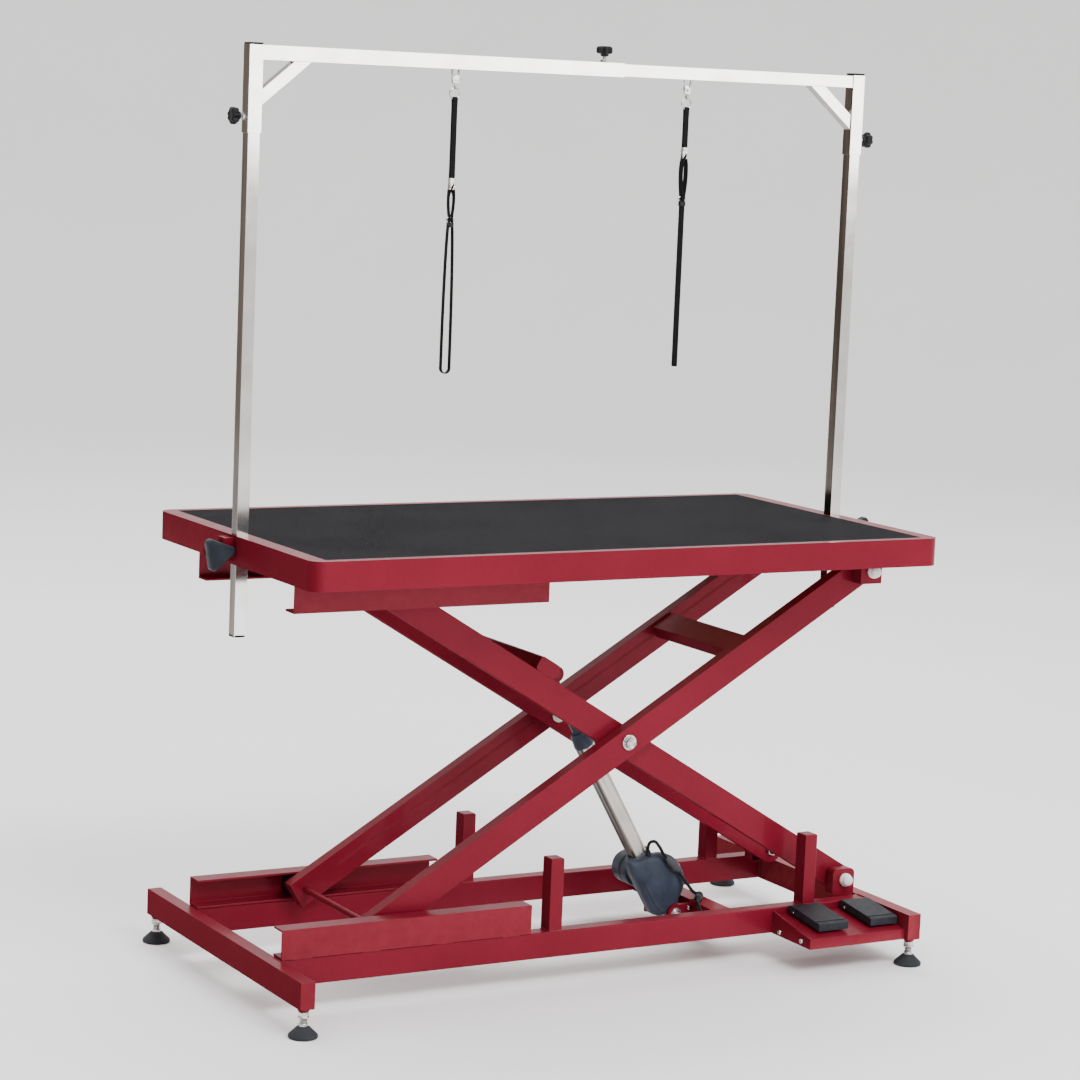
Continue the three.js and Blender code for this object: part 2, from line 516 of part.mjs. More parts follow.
// A lobed knob on a short screw, standing on z = 0 with the screw pointing down.
function starKnob(knobLow, knobHigh, screwEnd) {
  const shape = new THREE.Shape();
  const steps = STAR.lobes * 6;
  for (let i = 0; i < steps; i += 1) {
    const a = (i / steps) * 2 * Math.PI;
    const r = STAR.r + STAR.lobe * Math.cos(STAR.lobes * a);
    if (i === 0) shape.moveTo(r, 0);
    else shape.lineTo(r * Math.cos(a), r * Math.sin(a));
  }
  return join(slabZ(shape, knobLow, knobHigh), roundZ(4, screwEnd, knobLow + 1, 0, 0, 16));
}

const knobSeat = POST.x + SLEEVE.side / 2;
for (const [end, sign] of ENDS) {
  const knob = starKnob(knobSeat + 8.5, knobSeat + 27.5, POST.x + POST.side / 2 + GAP);
  add(`star_knob_${end}`, knob.rotate([0, sign * 90, 0]).translate([0, 0, STAR.side]), blackPlastic);
}
const topKnob = starKnob(STAR.topZ - 14, STAR.topZ, SLEEVE.top - 1);
add('star_knob_top', topKnob.translate([STAR.topX, 0, 0]), blackPlastic);

// ---- leashes ----
function leashHook(x) {
  const { jaw, ring, wire, pin } = LEASH;
  const pinZ = BAR_Z - 5;
  const top = pinZ + pin + GAP + 3;
  const loop = roundedRectangle(x - jaw, x + jaw, top - 34, top, jaw - 1);
  loop.holes.push(roundedRectangle(x - jaw + 3, x + jaw - 3, top - 30, top - 3, jaw - 4));
  const low = top - 34;
  const eye = new THREE.TorusGeometry(ring, wire, 8, 16).rotateX(Math.PI / 2);
  eye.translate(x, 0, low - 5 - ring);
  return join(slabY(loop, -2.5, 2.5, 6), roundZ(4.5, low - 6, low + 3, x, 0, 16), solid(eye));
}

// Doubled webbing under the ring, its crimp, and the neck loop below; wide is along X or along Y.
function leashStrap(x, alongX, bottom) {
  const top = 1534;
  const crimp = alongX ? [1404, 1383] : [1471, 1452];
  const slider = alongX ? 1333 : 1380;
  const slab = alongX ? slabY : slabX;
  const place = alongX ? x : 0;
  const depth = alongX ? [-4, 4] : [x - 4, x + 4];
  const plain = slab(roundedRectangle(place - 5, place + 5, slider - 8, top, 3), ...depth, 4);
  const loop = roundedRectangle(place - 10, place + 10, bottom, slider, 9);
  loop.holes.push(roundedRectangle(place - 6, place + 6, bottom + 4, slider - 12, 5));
  const band = roundedRectangle(place - 6.5, place + 6.5, crimp[1], crimp[0], 1);
  return join(plain, slab(loop, ...depth, 6), slab(band, depth[0] - 1, depth[1] + 1, 4));
}
add('leash_hook_left', leashHook(LEASH.left), zinc);
add('leash_hook_right', leashHook(LEASH.right), zinc);
add('leash_strap_left', leashStrap(LEASH.left, true, 1065), blackWebbing);
add('leash_strap_right', leashStrap(LEASH.right, false, 1076), blackWebbing);

// ---- actuator cable ----
function cable(points) {
  const curve = new THREE.CatmullRomCurve3(points.map((p) => new THREE.Vector3(...p)));
  const steps = Math.max(4, Math.round(curve.getLength() / (CABLE * 4)));
  const section = new THREE.Shape();
  section.absarc(0, 0, CABLE, 0, 2 * Math.PI);
  const path = { steps, extrudePath: curve, bevelEnabled: false, curveSegments: 8 };
  return solid(new THREE.ExtrudeGeometry(section, path));
}

// A round connector between two points.
function connector(r, from, to, sides = 16) {
  const a = new THREE.Vector3(...from);
  const b = new THREE.Vector3(...to);
  const turn = new THREE.Quaternion().setFromUnitVectors(new THREE.Vector3(0, 1, 0),
    b.clone().sub(a).normalize());
  const bar = new THREE.CylinderGeometry(r, r, a.distanceTo(b), sides).applyQuaternion(turn);
  return solid(bar.translate(...a.add(b).multiplyScalar(0.5).toArray()));
}

add('cable_upper', cable([[222, -25, 172.3], [220, -25, 184], [222, -28, 195], [229, -35, 198],
  [236, -41, 188], [243, -43.5, 175.2], [249.1, -43.5, 168.9]]), blackPlastic);
add('cable_connector', connector(6, [250, -43.5, 168], [277, -43.5, 140]), blackPlastic);
add('cable_lower', cable([[295.2, -87.1, 92.2], [290, -94.4, 91.6], [286, -112, 80], [287, -132, 68],
  [293, -148, 62], [300, -160.5, 61]]), blackPlastic);
add('cable_plug', connector(7.5, [296, -86, 92.2], [326, -44, 92.2]), blackPlastic);

export default table;
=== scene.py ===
"""Looks for the electric grooming table: every visible piece, its material, the light and the camera.

Pieces are built in millimetres and scaled to the frame's metres when they are made.
X runs towards the pedal end, -Y towards the person at the table, Z up.
"""
import json
import math

import bmesh
import bpy
from mathutils import Matrix, Vector


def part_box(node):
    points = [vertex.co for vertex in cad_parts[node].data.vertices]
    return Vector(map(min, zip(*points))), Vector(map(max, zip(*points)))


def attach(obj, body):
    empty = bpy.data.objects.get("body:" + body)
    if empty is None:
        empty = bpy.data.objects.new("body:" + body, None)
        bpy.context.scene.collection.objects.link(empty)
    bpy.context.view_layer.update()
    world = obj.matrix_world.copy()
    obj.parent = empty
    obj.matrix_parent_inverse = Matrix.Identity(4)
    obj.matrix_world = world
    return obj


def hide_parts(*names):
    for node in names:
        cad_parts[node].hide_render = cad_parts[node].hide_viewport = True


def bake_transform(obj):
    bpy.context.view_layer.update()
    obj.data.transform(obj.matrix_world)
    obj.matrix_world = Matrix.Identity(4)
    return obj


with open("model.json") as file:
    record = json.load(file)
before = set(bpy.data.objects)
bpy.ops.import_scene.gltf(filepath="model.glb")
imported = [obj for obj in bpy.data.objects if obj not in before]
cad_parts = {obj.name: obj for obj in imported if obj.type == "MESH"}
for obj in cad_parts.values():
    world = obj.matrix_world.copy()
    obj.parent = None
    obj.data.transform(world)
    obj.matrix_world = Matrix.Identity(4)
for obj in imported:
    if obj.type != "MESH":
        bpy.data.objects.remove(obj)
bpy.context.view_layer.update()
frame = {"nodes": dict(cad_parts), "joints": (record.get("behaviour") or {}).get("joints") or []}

MM = 0.001
JOINTS = {j["name"]: j for j in frame["joints"]}
SIDES = (("front", -1), ("rear", 1))
ENDS = (("left", -1), ("right", 1))


def joint_at(name):
    """A joint's place in millimetres."""
    return Vector(JOINTS[name]["pos_m"]) / MM


def box(node):
    """A CAD node's corners in millimetres."""
    low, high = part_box(node)
    return low / MM, high / MM


# ---- camera
CAMERA_PLACE = (-2.7462, -4.7745, 1.5221)
CAMERA_YAW, CAMERA_DOWN, CAMERA_ROLL = (math.radians(a) for a in (29.7, 7.846, 2.393))
CAMERA_LENS = 103.08


def make_camera():
    forward = Vector((math.sin(CAMERA_YAW) * math.cos(CAMERA_DOWN),
                      math.cos(CAMERA_YAW) * math.cos(CAMERA_DOWN), -math.sin(CAMERA_DOWN)))
    level = Vector((math.cos(CAMERA_YAW), -math.sin(CAMERA_YAW), 0))
    up = level.cross(forward)
    right = level * math.cos(CAMERA_ROLL) + up * math.sin(CAMERA_ROLL)
    top = up * math.cos(CAMERA_ROLL) - level * math.sin(CAMERA_ROLL)
    data = bpy.data.cameras.new("camera")
    data.lens, data.sensor_width = CAMERA_LENS, 36
    camera = bpy.data.objects.new("camera", data)
    turn = Matrix((right, top, -forward)).transposed()
    camera.matrix_world = Matrix.Translation(CAMERA_PLACE) @ turn.to_4x4()
    bpy.context.scene.collection.objects.link(camera)
    bpy.context.scene.camera = camera


make_camera()


# ---- materials
def mixed(tree, fac, a, b):
    """A colour mix node; a and b are colours or sockets."""
    made = tree.nodes.new("ShaderNodeMix")
    made.data_type = "RGBA"
    tree.links.new(fac, made.inputs[0])
    for socket, value in ((made.inputs[6], a), (made.inputs[7], b)):
        if isinstance(value, tuple):
            socket.default_value = (*value, 1)
        else:
            tree.links.new(value, socket)
    return made.outputs[2]


class Shader:
    """A Principled material with a few short ways to add nodes; object coordinates are in metres."""

    def __init__(self, name, color, rough, metal=0.0, coat=0.0):
        self.mat = bpy.data.materials.new(name)
        self.mat.use_nodes = True
        self.tree = self.mat.node_tree
        self.bsdf = self.tree.nodes["Principled BSDF"]
        self.bsdf.inputs["Base Color"].default_value = (*color, 1)
        self.bsdf.inputs["Roughness"].default_value = rough
        self.bsdf.inputs["Metallic"].default_value = metal
        self.bsdf.inputs["Coat Weight"].default_value = coat
        self.bsdf.inputs["Coat Roughness"].default_value = 0.06
        self.bsdf.inputs["Coat IOR"].default_value = 1.35
        self.place = self.tree.nodes.new("ShaderNodeTexCoord").outputs["Object"]

    def node(self, kind, **values):
        made = self.tree.nodes.new(kind)
        for key, value in values.items():
            setattr(made, key, value)
        return made

    def link(self, a, b):
        self.tree.links.new(a, b)

    def stretched(self, scale):
        mapping = self.node("ShaderNodeMapping")
        mapping.inputs["Scale"].default_value = scale
        self.link(self.place, mapping.inputs["Vector"])
        return mapping.outputs["Vector"]

    def noise(self, scale, detail=3, place=None):
        made = self.node("ShaderNodeTexNoise")
        made.inputs["Scale"].default_value = scale
        made.inputs["Detail"].default_value = detail
        self.link(place or self.place, made.inputs["Vector"])
        return made.outputs["Fac"]

    def cells(self, scale, out="Distance"):
        made = self.node("ShaderNodeTexVoronoi")
        made.inputs["Scale"].default_value = scale
        self.link(self.place, made.inputs["Vector"])
        return made.outputs[out]

    def ramp(self, fac, *stops):
        made = self.node("ShaderNodeValToRGB")
        elements = made.color_ramp.elements
        while len(elements) < len(stops):
            elements.new(0.5)
        for element, (at, color) in zip(elements, stops):
            element.position = at
            element.color = (*color, 1) if len(color) == 3 else color
        self.link(fac, made.inputs["Fac"])
        return made.outputs["Color"]

    def span(self, value, low, high, start=0.0, end=1.0):
        made = self.node("ShaderNodeMapRange")
        made.inputs["From Min"].default_value = start
        made.inputs["From Max"].default_value = end
        made.inputs["To Min"].default_value = low
        made.inputs["To Max"].default_value = high
        self.link(value, made.inputs["Value"])
        return made.outputs["Result"]

    def math(self, operation, a, b):
        made = self.node("ShaderNodeMath", operation=operation)
        for socket, value in zip(made.inputs, (a, b)):
            if isinstance(value, (int, float)):
                socket.default_value = value
            else:
                self.link(value, socket)
        return made.outputs[0]

    def mix(self, fac, a, b):
        return mixed(self.tree, fac, a, b)

    def color(self, socket):
        self.link(socket, self.bsdf.inputs["Base Color"])

    def rough(self, socket):
        self.link(socket, self.bsdf.inputs["Roughness"])

    def bump(self, *heights):
        """Each height is (socket, depth in metres)."""
        normal = None
        for socket, depth in heights:
            made = self.node("ShaderNodeBump")
            made.inputs["Distance"].default_value = depth
            self.link(socket, made.inputs["Height"])
            if normal:
                self.link(normal, made.inputs["Normal"])
            normal = made.outputs["Normal"]
        self.link(normal, self.bsdf.inputs["Normal"])

    def painted_shade_side(self, low, high, under=False):
        """From low to high over the faces turned to the dim end of the studio (-X), or down as well: the mask
        for painted shade on those sides.
        """
        axes = self.node("ShaderNodeSeparateXYZ")
        self.link(self.node("ShaderNodeNewGeometry").outputs["Normal"], axes.inputs["Vector"])
        turned = axes.outputs["X"]
        if under:
            turned = self.math("MINIMUM", turned, axes.outputs["Z"])
        return self.span(turned, high, low, -0.75, -0.2)

    def edges(self, base, worn, amount=0.5):
        """The colour, lighter or darker on worn edges."""
        edge = self.node("ShaderNodeNewGeometry").outputs["Pointiness"]
        patch = self.math("MULTIPLY", self.span(edge, 0, 1, 0.53, 0.62), self.noise(60, 4))
        return self.mix(self.math("MULTIPLY", patch, amount), base, worn)


def red_paint():
    s = Shader("burgundy_metallic_paint", (0.16, 0.006, 0.014), 0.34, 0.22, 0.14)
    s.bsdf.inputs["Specular IOR Level"].default_value = 0.09
    flake = s.cells(2600, out="Color")
    tone = s.ramp(s.noise(5, 4), (0.3, (0.13, 0.0045, 0.0135)), (0.7, (0.166, 0.0065, 0.019)))
    shiny = s.math("GREATER_THAN", flake, 0.85)
    paint = s.edges(s.mix(s.math("MULTIPLY", shiny, 0.22), tone, (0.55, 0.06, 0.09)), (0.4, 0.07, 0.08))
    # Painted shade: faces turned to -X are mixed towards a near-black red; below, coat, metal and specular
    # are turned down on those faces and on downward ones.
    s.color(s.mix(s.painted_shade_side(0.0, 0.45), paint, (0.05, 0.008, 0.01)))
    s.link(s.painted_shade_side(0.14, 0.0, True), s.bsdf.inputs["Coat Weight"])
    s.link(s.painted_shade_side(0.22, 0.05, True), s.bsdf.inputs["Metallic"])
    s.link(s.painted_shade_side(0.09, 0.0, True), s.bsdf.inputs["Specular IOR Level"])
    s.rough(s.span(s.noise(26, 5), 0.27, 0.42))
    s.bump((s.noise(240, 2), 0.00006), (s.noise(9, 2), 0.0004))
    return s.mat


def stainless():
    s = Shader("polished_stainless", (0.8, 0.79, 0.77), 0.12, 1.0)
    lines = s.noise(1, 3, s.stretched((900, 900, 9)))
    bright = s.ramp(s.noise(14, 5), (0.35, (0.76, 0.73, 0.69)), (0.7, (0.88, 0.87, 0.85)))
    # Painted reflection: dark brown bands mixed into the colour of the faces turned to -X.
    reflection_bands = s.noise(1, 3, s.stretched((30, 30, 2.2)))
    painted_reflection = s.ramp(reflection_bands, (0.4, (0.045, 0.036, 0.029)), (0.66, (0.14, 0.118, 0.1)))
    s.color(s.mix(s.painted_shade_side(0.0, 0.97), bright, painted_reflection))
    s.rough(s.math("ADD", s.span(lines, 0.04, 0.13), s.span(s.noise(30, 5), -0.02, 0.1)))
    s.bump((s.noise(3.2, 2), 0.0012), (lines, 0.000004))
    return s.mat


def zinc():
    s = Shader("bright_zinc", (0.72, 0.72, 0.71), 0.25, 1.0)
    s.color(s.ramp(s.noise(120, 4), (0.35, (0.3, 0.29, 0.28)), (0.65, (0.72, 0.72, 0.7))))
    s.rough(s.span(s.noise(300, 3), 0.16, 0.36))
    s.bump((s.noise(900, 2), 0.00002))
    return s.mat


def anodised():
    s = Shader("actuator_aluminium", (0.5, 0.46, 0.42), 0.34, 1.0)
    lines = s.noise(1, 3, s.stretched((700, 700, 12)))
    bright = s.ramp(s.noise(18, 4), (0.3, (0.5, 0.465, 0.43)), (0.7, (0.62, 0.585, 0.54)))
    # Painted shade: faces turned to -X are mixed towards a dark grey-brown.
    s.color(s.mix(s.painted_shade_side(0.0, 0.95), bright, (0.06, 0.055, 0.05)))
    s.rough(s.span(lines, 0.27, 0.42))
    s.bump((lines, 0.00001))
    return s.mat


def moulded(name, color, rough, grain=1500, depth=0.00003, tint=0.25):
    """Moulded plastic or rubber: a fine spark texture, slight colour drift and paler rubbed edges."""
    s = Shader(name, color, rough)
    s.bsdf.inputs["Specular IOR Level"].default_value = 0.14
    dark = tuple(c * (1 - tint) for c in color)
    pale = tuple(min(1.0, c * (1 + tint) + 0.004) for c in color)
    tone = s.ramp(s.noise(30, 4), (0.3, dark), (0.7, pale))
    s.color(s.edges(tone, tuple(min(1.0, c * 1.8 + 0.03) for c in color)))
    s.rough(s.span(s.noise(90, 4), rough - 0.08, rough + 0.1))
    s.bump((s.noise(grain, 2), depth))
    return s.mat


def mat_rubber():
    """The top's sheet: a fine raised pebble, with faint scuffs."""
    s = Shader("pebbled_mat", (0.03, 0.03, 0.033), 0.55)
    s.bsdf.inputs["Specular IOR Level"].default_value = 0.01
    pebble = s.cells(420)
    scuff = s.noise(7, 6)
    s.color(s.ramp(scuff, (0.35, (0.008, 0.008, 0.0095)), (0.62, (0.014, 0.014, 0.016))))
    s.rough(s.math("ADD", s.span(scuff, 0.5, 0.66), s.span(pebble, 0.0, 0.12)))
    s.bump((pebble, 0.00035), (s.noise(1800, 2), 0.00003))
    return s.mat


def webbing():
    """Woven nylon: chevrons along the strap and a thread grain across it."""
    s = Shader("woven_nylon", (0.012, 0.012, 0.014), 0.75)
    axes = s.node("ShaderNodeSeparateXYZ")
    s.link(s.place, axes.inputs["Vector"])
    chevrons, threads = 2600, 4200
    slant = s.math("MULTIPLY", s.math("ABSOLUTE", axes.outputs["X"], 0), chevrons)
    along = s.math("ADD", s.math("MULTIPLY", axes.outputs["Z"], chevrons), slant)
    thread = s.math("SINE", along, 0)
    across = s.math("SINE", s.math("MULTIPLY", axes.outputs["X"], threads), 0)
    weave = s.math("ADD", s.span(thread, 0, 1, -1, 1), s.math("MULTIPLY", across, 0.3))
    s.color(s.ramp(weave, (0.1, (0.002, 0.002, 0.0024)), (0.9, (0.011, 0.011, 0.012))))
    s.rough(s.span(s.noise(200, 3), 0.65, 0.9))
    s.bump((weave, 0.00025), (s.noise(2500, 2), 0.00005))
    s.bsdf.inputs["Specular IOR Level"].default_value = 0.08
    return s.mat


def plywood():
    s = Shader("plywood", (0.35, 0.22, 0.12), 0.7)
    grain = s.noise(1, 5, s.stretched((4, 90, 90)))
    s.color(s.ramp(grain, (0.3, (0.22, 0.13, 0.065)), (0.7, (0.42, 0.28, 0.16))))
    s.bump((grain, 0.0003))
    return s.mat


RED = red_paint()
STEEL = stainless()
ZINC = zinc()
TUBE = anodised()
NAVY = moulded("navy_housing", (0.028, 0.036, 0.055), 0.38, 1100, 0.00005)
BLACK = moulded("black_plastic", (0.006, 0.006, 0.0075), 0.42)
PEDAL = moulded("pedal_plastic", (0.006, 0.0075, 0.011), 0.45, 1300, 0.00005)
KNOB = moulded("knob_plastic", (0.012, 0.0145, 0.021), 0.48, 900, 0.00006)
GREY = moulded("grey_connector", (0.045, 0.045, 0.05), 0.5)
RUBBER = moulded("foot_rubber", (0.02, 0.022, 0.026), 0.6, 700, 0.00008)
NYLON = moulded("white_nylon", (0.74, 0.73, 0.69), 0.38, 900, 0.00003, 0.06)
MAT = mat_rubber()
WEB = webbing()
WOOD = plywood()


# ---- mesh tools
PLANES = {
    "XZ": (Vector((1, 0, 0)), Vector((0, 0, 1)), Vector((0, 1, 0))),
    "YZ": (Vector((0, 1, 0)), Vector((0, 0, 1)), Vector((1, 0, 0))),
    "XY": (Vector((1, 0, 0)), Vector((0, 1, 0)), Vector((0, 0, 1))),
}
AXES = {"X": Vector((1, 0, 0)), "Y": Vector((0, 1, 0)), "Z": Vector((0, 0, 1))}


def arc(x, y, r, start, end, steps=8):
    """Points on an arc, angles in degrees."""
    turns = [math.radians(start + (end - start) * i / steps) for i in range(steps + 1)]
    return [(x + r * math.cos(t), y + r * math.sin(t)) for t in turns]


def circle(count):
    """Angles in radians, evenly round a circle."""
    return [2 * math.pi * i / count for i in range(count)]


def evenly(start, end, count):
    """Values from start to end in that many equal steps."""
    return [start + (end - start) * i / count for i in range(count + 1)]


def oval(x, z, wide, tall, count):
    """Points of an upright ring in the plane y = 0."""
    return [(x + wide * math.cos(t), 0, z + tall * math.sin(t)) for t in circle(count)]


def flipped(profile, sign):
    """A turned profile of (radius, height), its heights times a sign."""
    return [(r, sign * h) for r, h in profile]


def rounded(x0, x1, y0, y1, r, steps=6):
    """A rectangle's outline with round corners."""
    return (arc(x1 - r, y0 + r, r, -90, 0, steps) + arc(x1 - r, y1 - r, r, 0, 90, steps)
            + arc(x0 + r, y1 - r, r, 90, 180, steps) + arc(x0 + r, y0 + r, r, 180, 270, steps))


def spline(p, step):
    """A Catmull-Rom curve from the second point, ending one step before the last but one."""
    out = []
    for a, b, c, d in zip(p, p[1:], p[2:], p[3:]):
        count = max(2, round((c - b).length / step))
        for i in range(count):
            t = i / count
            out.append(0.5 * (2 * b + (c - a) * t + (2 * a - 5 * b + 4 * c - d) * t * t
                              + (3 * b - a - 3 * c + d) * t ** 3))
    return out


def smooth_path(points, step):
    """An open curve through the points, with about that step."""
    p = [Vector(q) for q in points]
    return [*spline([p[0] * 2 - p[1], *p, p[-1] * 2 - p[-2]], step), p[-1]]


def smooth_loop(points, step):
    """A closed curve through the points, with about that step."""
    p = [Vector(q) for q in points]
    return spline([p[-1], *p, p[0], p[1]], step)


class Piece:
    """A mesh built from turned, extruded and swept parts, each with its own material."""

    def __init__(self):
        self.bm = bmesh.new()
        self.mats = []

    def _add(self, mat, rings, caps=True, closed=False):
        """Skins rings of equal length; a ring of one point closes to it."""
        if mat not in self.mats:
            self.mats.append(mat)
        index = self.mats.index(mat)
        rows = [[self.bm.verts.new(p) for p in ring] for ring in rings]
        faces = []
        pairs = list(zip(rows, rows[1:])) + ([(rows[-1], rows[0])] if closed else [])
        for low, high in pairs:
            n = max(len(low), len(high))
            for i in range(n):
                j = (i + 1) % n
                corners = [low[i % len(low)], low[j % len(low)], high[j % len(high)], high[i % len(high)]]
                unique = list(dict.fromkeys(corners))
                if len(unique) > 2:
                    faces.append(self.bm.faces.new(unique))
        if caps and not closed:
            for row in (rows[0], rows[-1]):
                if len(row) > 2:
                    faces.append(self.bm.faces.new(row))
        for face in faces:
            face.material_index = index
            face.smooth = True
        return faces

    def _bevel(self, faces, width, segments=3, angle=28):
        edges = {e for f in faces for e in f.edges
                 if len(e.link_faces) == 2 and e.calc_face_angle(0) > math.radians(angle)}
        bmesh.ops.bevel(self.bm, geom=list(edges), offset=width, segments=segments, affect="EDGES",
                        profile=0.6, clamp_overlap=True)

    def turned(self, mat, profile, at, axis="Z", sides=40):
        """A profile of (radius, height) turned about an axis through a point."""
        along = AXES[axis] if isinstance(axis, str) else Vector(axis).normalized()
        across = along.orthogonal().normalized()
        other = along.cross(across)
        rings = []
        for r, h in profile:
            count = 1 if r < 1e-6 else sides
            rings.append([Vector(at) + along * h + (across * math.cos(t) + other * math.sin(t)) * r
                          for t in circle(sides)[:count]])
        self._add(mat, rings)

    def rod(self, mat, r, low, high, at, axis="Z", sides=28):
        """A plain round bar between two heights along an axis."""
        self.turned(mat, [(0, low), (r, low), (r, high), (0, high)], at, axis, sides)

    def hoop(self, mat, profile, at, axes, sides):
        """A closed profile of (radius, height) turned about the last of three axes through a point."""
        across, other, along = axes
        rings = [[at + along * h + (across * math.cos(t) + other * math.sin(t)) * r for t in circle(sides)]
                 for r, h in profile]
        self._add(mat, rings, closed=True)

    def prism(self, mat, outline, low, high, plane="XZ", bevel=0.0, segments=3):
        """An outline given thickness, its edges rounded."""
        a, b, c = PLANES[plane]
        rings = [[a * x + b * y + c * h for x, y in outline] for h in (low, high)]
        faces = self._add(mat, rings)
        if bevel:
            self._bevel(faces, bevel, segments)

    def block(self, mat, low, high, bevel=0.5, segments=2):
        (x0, y0, z0), (x1, y1, z1) = low, high
        self.prism(mat, [(x0, y0), (x1, y0), (x1, y1), (x0, y1)], z0, z1, "XY", bevel, segments)

    def hexagon(self, mat, flats, low, high, at, axis="Z"):
        """A nut or bolt head with chamfered corners; flats is the width across them."""
        low, high = sorted((low, high))
        r = flats / math.sqrt(3)
        lead = (high - low) * 0.12
        profile = [(0, low), (r * 0.93, low), (r, low + lead), (r, high - lead), (r * 0.93, high), (0, high)]
        self.turned(mat, profile, at, axis, 6)

    def tube(self, mat, path, r, sides=12, closed=False):
        """A round tube along a path."""
        self.sweep(mat, path, [(r * math.cos(t), r * math.sin(t)) for t in circle(sides)], closed=closed)

    def sweep(self, mat, path, section, widths=None, closed=False):
        """A section swept along a path; widths gives the section's first direction at each point."""
        points = [Vector(p) for p in path]
        n = len(points)
        side = None
        rings = []
        for i, p in enumerate(points):
            before = points[i - 1] if i or closed else p
            after = points[(i + 1) % n] if i < n - 1 or closed else p
            ahead = (after - before).normalized()
            if widths:
                side = Vector(widths[i])
            elif side is None:
                side = ahead.orthogonal()
            side = (side - ahead * side.dot(ahead)).normalized()
            other = ahead.cross(side)
            rings.append([p + side * u + other * v for u, v in section])
        self._add(mat, rings, closed=closed)

    def weld(self, path, r=2.2, seed=0.0):
        """A rippled weld bead, painted over."""
        line = smooth_path(path, 1.6)
        rings = []
        for i, p in enumerate(line):
            ahead = (line[min(i + 1, len(line) - 1)] - line[max(i - 1, 0)]).normalized()
            side = ahead.orthogonal().normalized()
            other = ahead.cross(side)
            size = r * (1 + 0.16 * math.sin(i * 2.1 + seed))
            if i in (0, len(line) - 1):
                size *= 0.4
            rings.append([p + (side * math.cos(t) + other * math.sin(t)) * size for t in circle(8)])
        self._add(RED, rings)

    def make(self, name, body, *nodes, slot=None, soft=False):
        bmesh.ops.recalc_face_normals(self.bm, faces=self.bm.faces)
        bmesh.ops.scale(self.bm, vec=(MM, MM, MM), verts=self.bm.verts)
        mesh = bpy.data.meshes.new(name)
        self.bm.to_mesh(mesh)
        self.bm.free()
        for mat in self.mats:
            mesh.materials.append(mat)
        mesh.set_sharp_from_angle(angle=math.radians(40))
        made = bpy.data.objects.new(name, mesh)
        bpy.context.scene.collection.objects.link(made)
        if not soft:
            made.modifiers.new("even_faces", "WEIGHTED_NORMAL").keep_sharp = True
        if body:
            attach(made, body)
        if nodes:
            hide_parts(*nodes)
        return made


# ---- leashes and cable
STRAP_HALF, STRAP_THICK = 5.0, 1.7
# Half the distance between the strap's two runs, and what the ring adds to it at the fold.
STRAP_GAP, RING_ROOM = 1.95, 0.85


def strap_shape(crimp, slider, bottom, small, facing, swell, wide):
    """A function of height: half the distance between the two runs, and the direction they part in.

    small and facing are that direction, in degrees, in the small loop above the slider and in the neck
    loop below it; swell and wide are how far the two loops open.
    """
    small, facing = math.radians(small), math.radians(facing)

    def ease(t):
        t = min(1.0, max(0.0, t))
        return t * t * (3 - 2 * t)

    def at(z):
        if z > crimp:
            return STRAP_GAP, math.pi / 2
        turn = math.pi / 2 + (small - math.pi / 2) * ease((crimp - z) / 30)
        turn += (facing - small) * ease((slider + 18 - z) / 36)
        if z > slider:
            return STRAP_GAP + swell * math.sin(math.pi * (crimp - z) / (crimp - slider)), turn
        fall = min(1.0, 1.15 * (slider - z) / (slider - bottom))
        return STRAP_GAP + (wide - STRAP_GAP) * math.sin(math.pi / 2 * fall) ** 0.42, turn
    return at


def leash(end, x, crimp, slider, turns, swell, wide, hook_lean):
    """One strap, both ends in its crimp: over the ring, down through the slider and round the neck loop."""
    ring = joint_at(f"leash_strap_{end}_swing").z
    low, _ = box(f"leash_strap_{end}")
    shape = strap_shape(crimp, slider, low.z, *turns, swell, wide)
    turn_z = low.z + wide + STRAP_THICK / 2
    points, widths = [], []

    def put(z, sign):
        half, turn = shape(z)
        half += RING_ROOM * max(0.0, 1 - (ring - z) / 14)
        points.append(Vector((x + sign * half * math.cos(turn), sign * half * math.sin(turn), z)))
        widths.append(Vector((-math.sin(turn), math.cos(turn), 0)))

    for z in evenly(crimp, ring, 22):
        put(z, -1)
    for a in range(1, 8):
        over = math.pi * a / 8
        reach = STRAP_GAP + RING_ROOM
        points.append(Vector((x, -reach * math.cos(over), ring + reach * math.sin(over))))
        widths.append(Vector((-1, 0, 0)))
    for z in evenly(ring, turn_z, 66):
        put(z, 1)
    half, turn = shape(turn_z)
    for a in range(1, 12):
        under = math.pi * a / 12
        reach = half * math.cos(under)
        points.append(Vector((x + reach * math.cos(turn), reach * math.sin(turn),
                              turn_z - half * math.sin(under))))
        widths.append(widths[-1])
    for z in evenly(turn_z, crimp, 44)[:-1]:
        put(z, -1)
    section = rounded(-STRAP_HALF, STRAP_HALF, -STRAP_THICK / 2, STRAP_THICK / 2, 0.8, 2)
    strap = Piece()
    strap.sweep(WEB, points, section, widths)
    strap = strap.make(f"leash_strap_{end}_webbing", f"leash_strap_{end}", f"leash_strap_{end}",
                       slot="webbing", soft=True)
    fittings = Piece()
    band = rounded(x - 5.6, x + 5.6, -3.7, 3.7, 2)
    fittings.prism(ZINC, band, crimp - 19, crimp + 1, "XY", 0.7)
    for rib in range(7):
        z = crimp - 17.4 + rib * 2.8
        fittings.prism(ZINC, rounded(x - 6, x + 6, -4.1, 4.1, 2.2), z - 0.9, z + 0.9, "XY", 0.7)
    fittings.tube(ZINC, oval(x, slider, 7.5, 4.2, 24), 1.1, 10, closed=True)
    fittings.block(BLACK, (x - 4.8, -4.8, slider - 13), (x + 4.8, 4.8, slider - 5), 1.5, 3)
    fittings = fittings.make(f"leash_fittings_{end}", f"leash_strap_{end}", slot="zinc")
    snap_hook(end, x, ring, hook_lean)


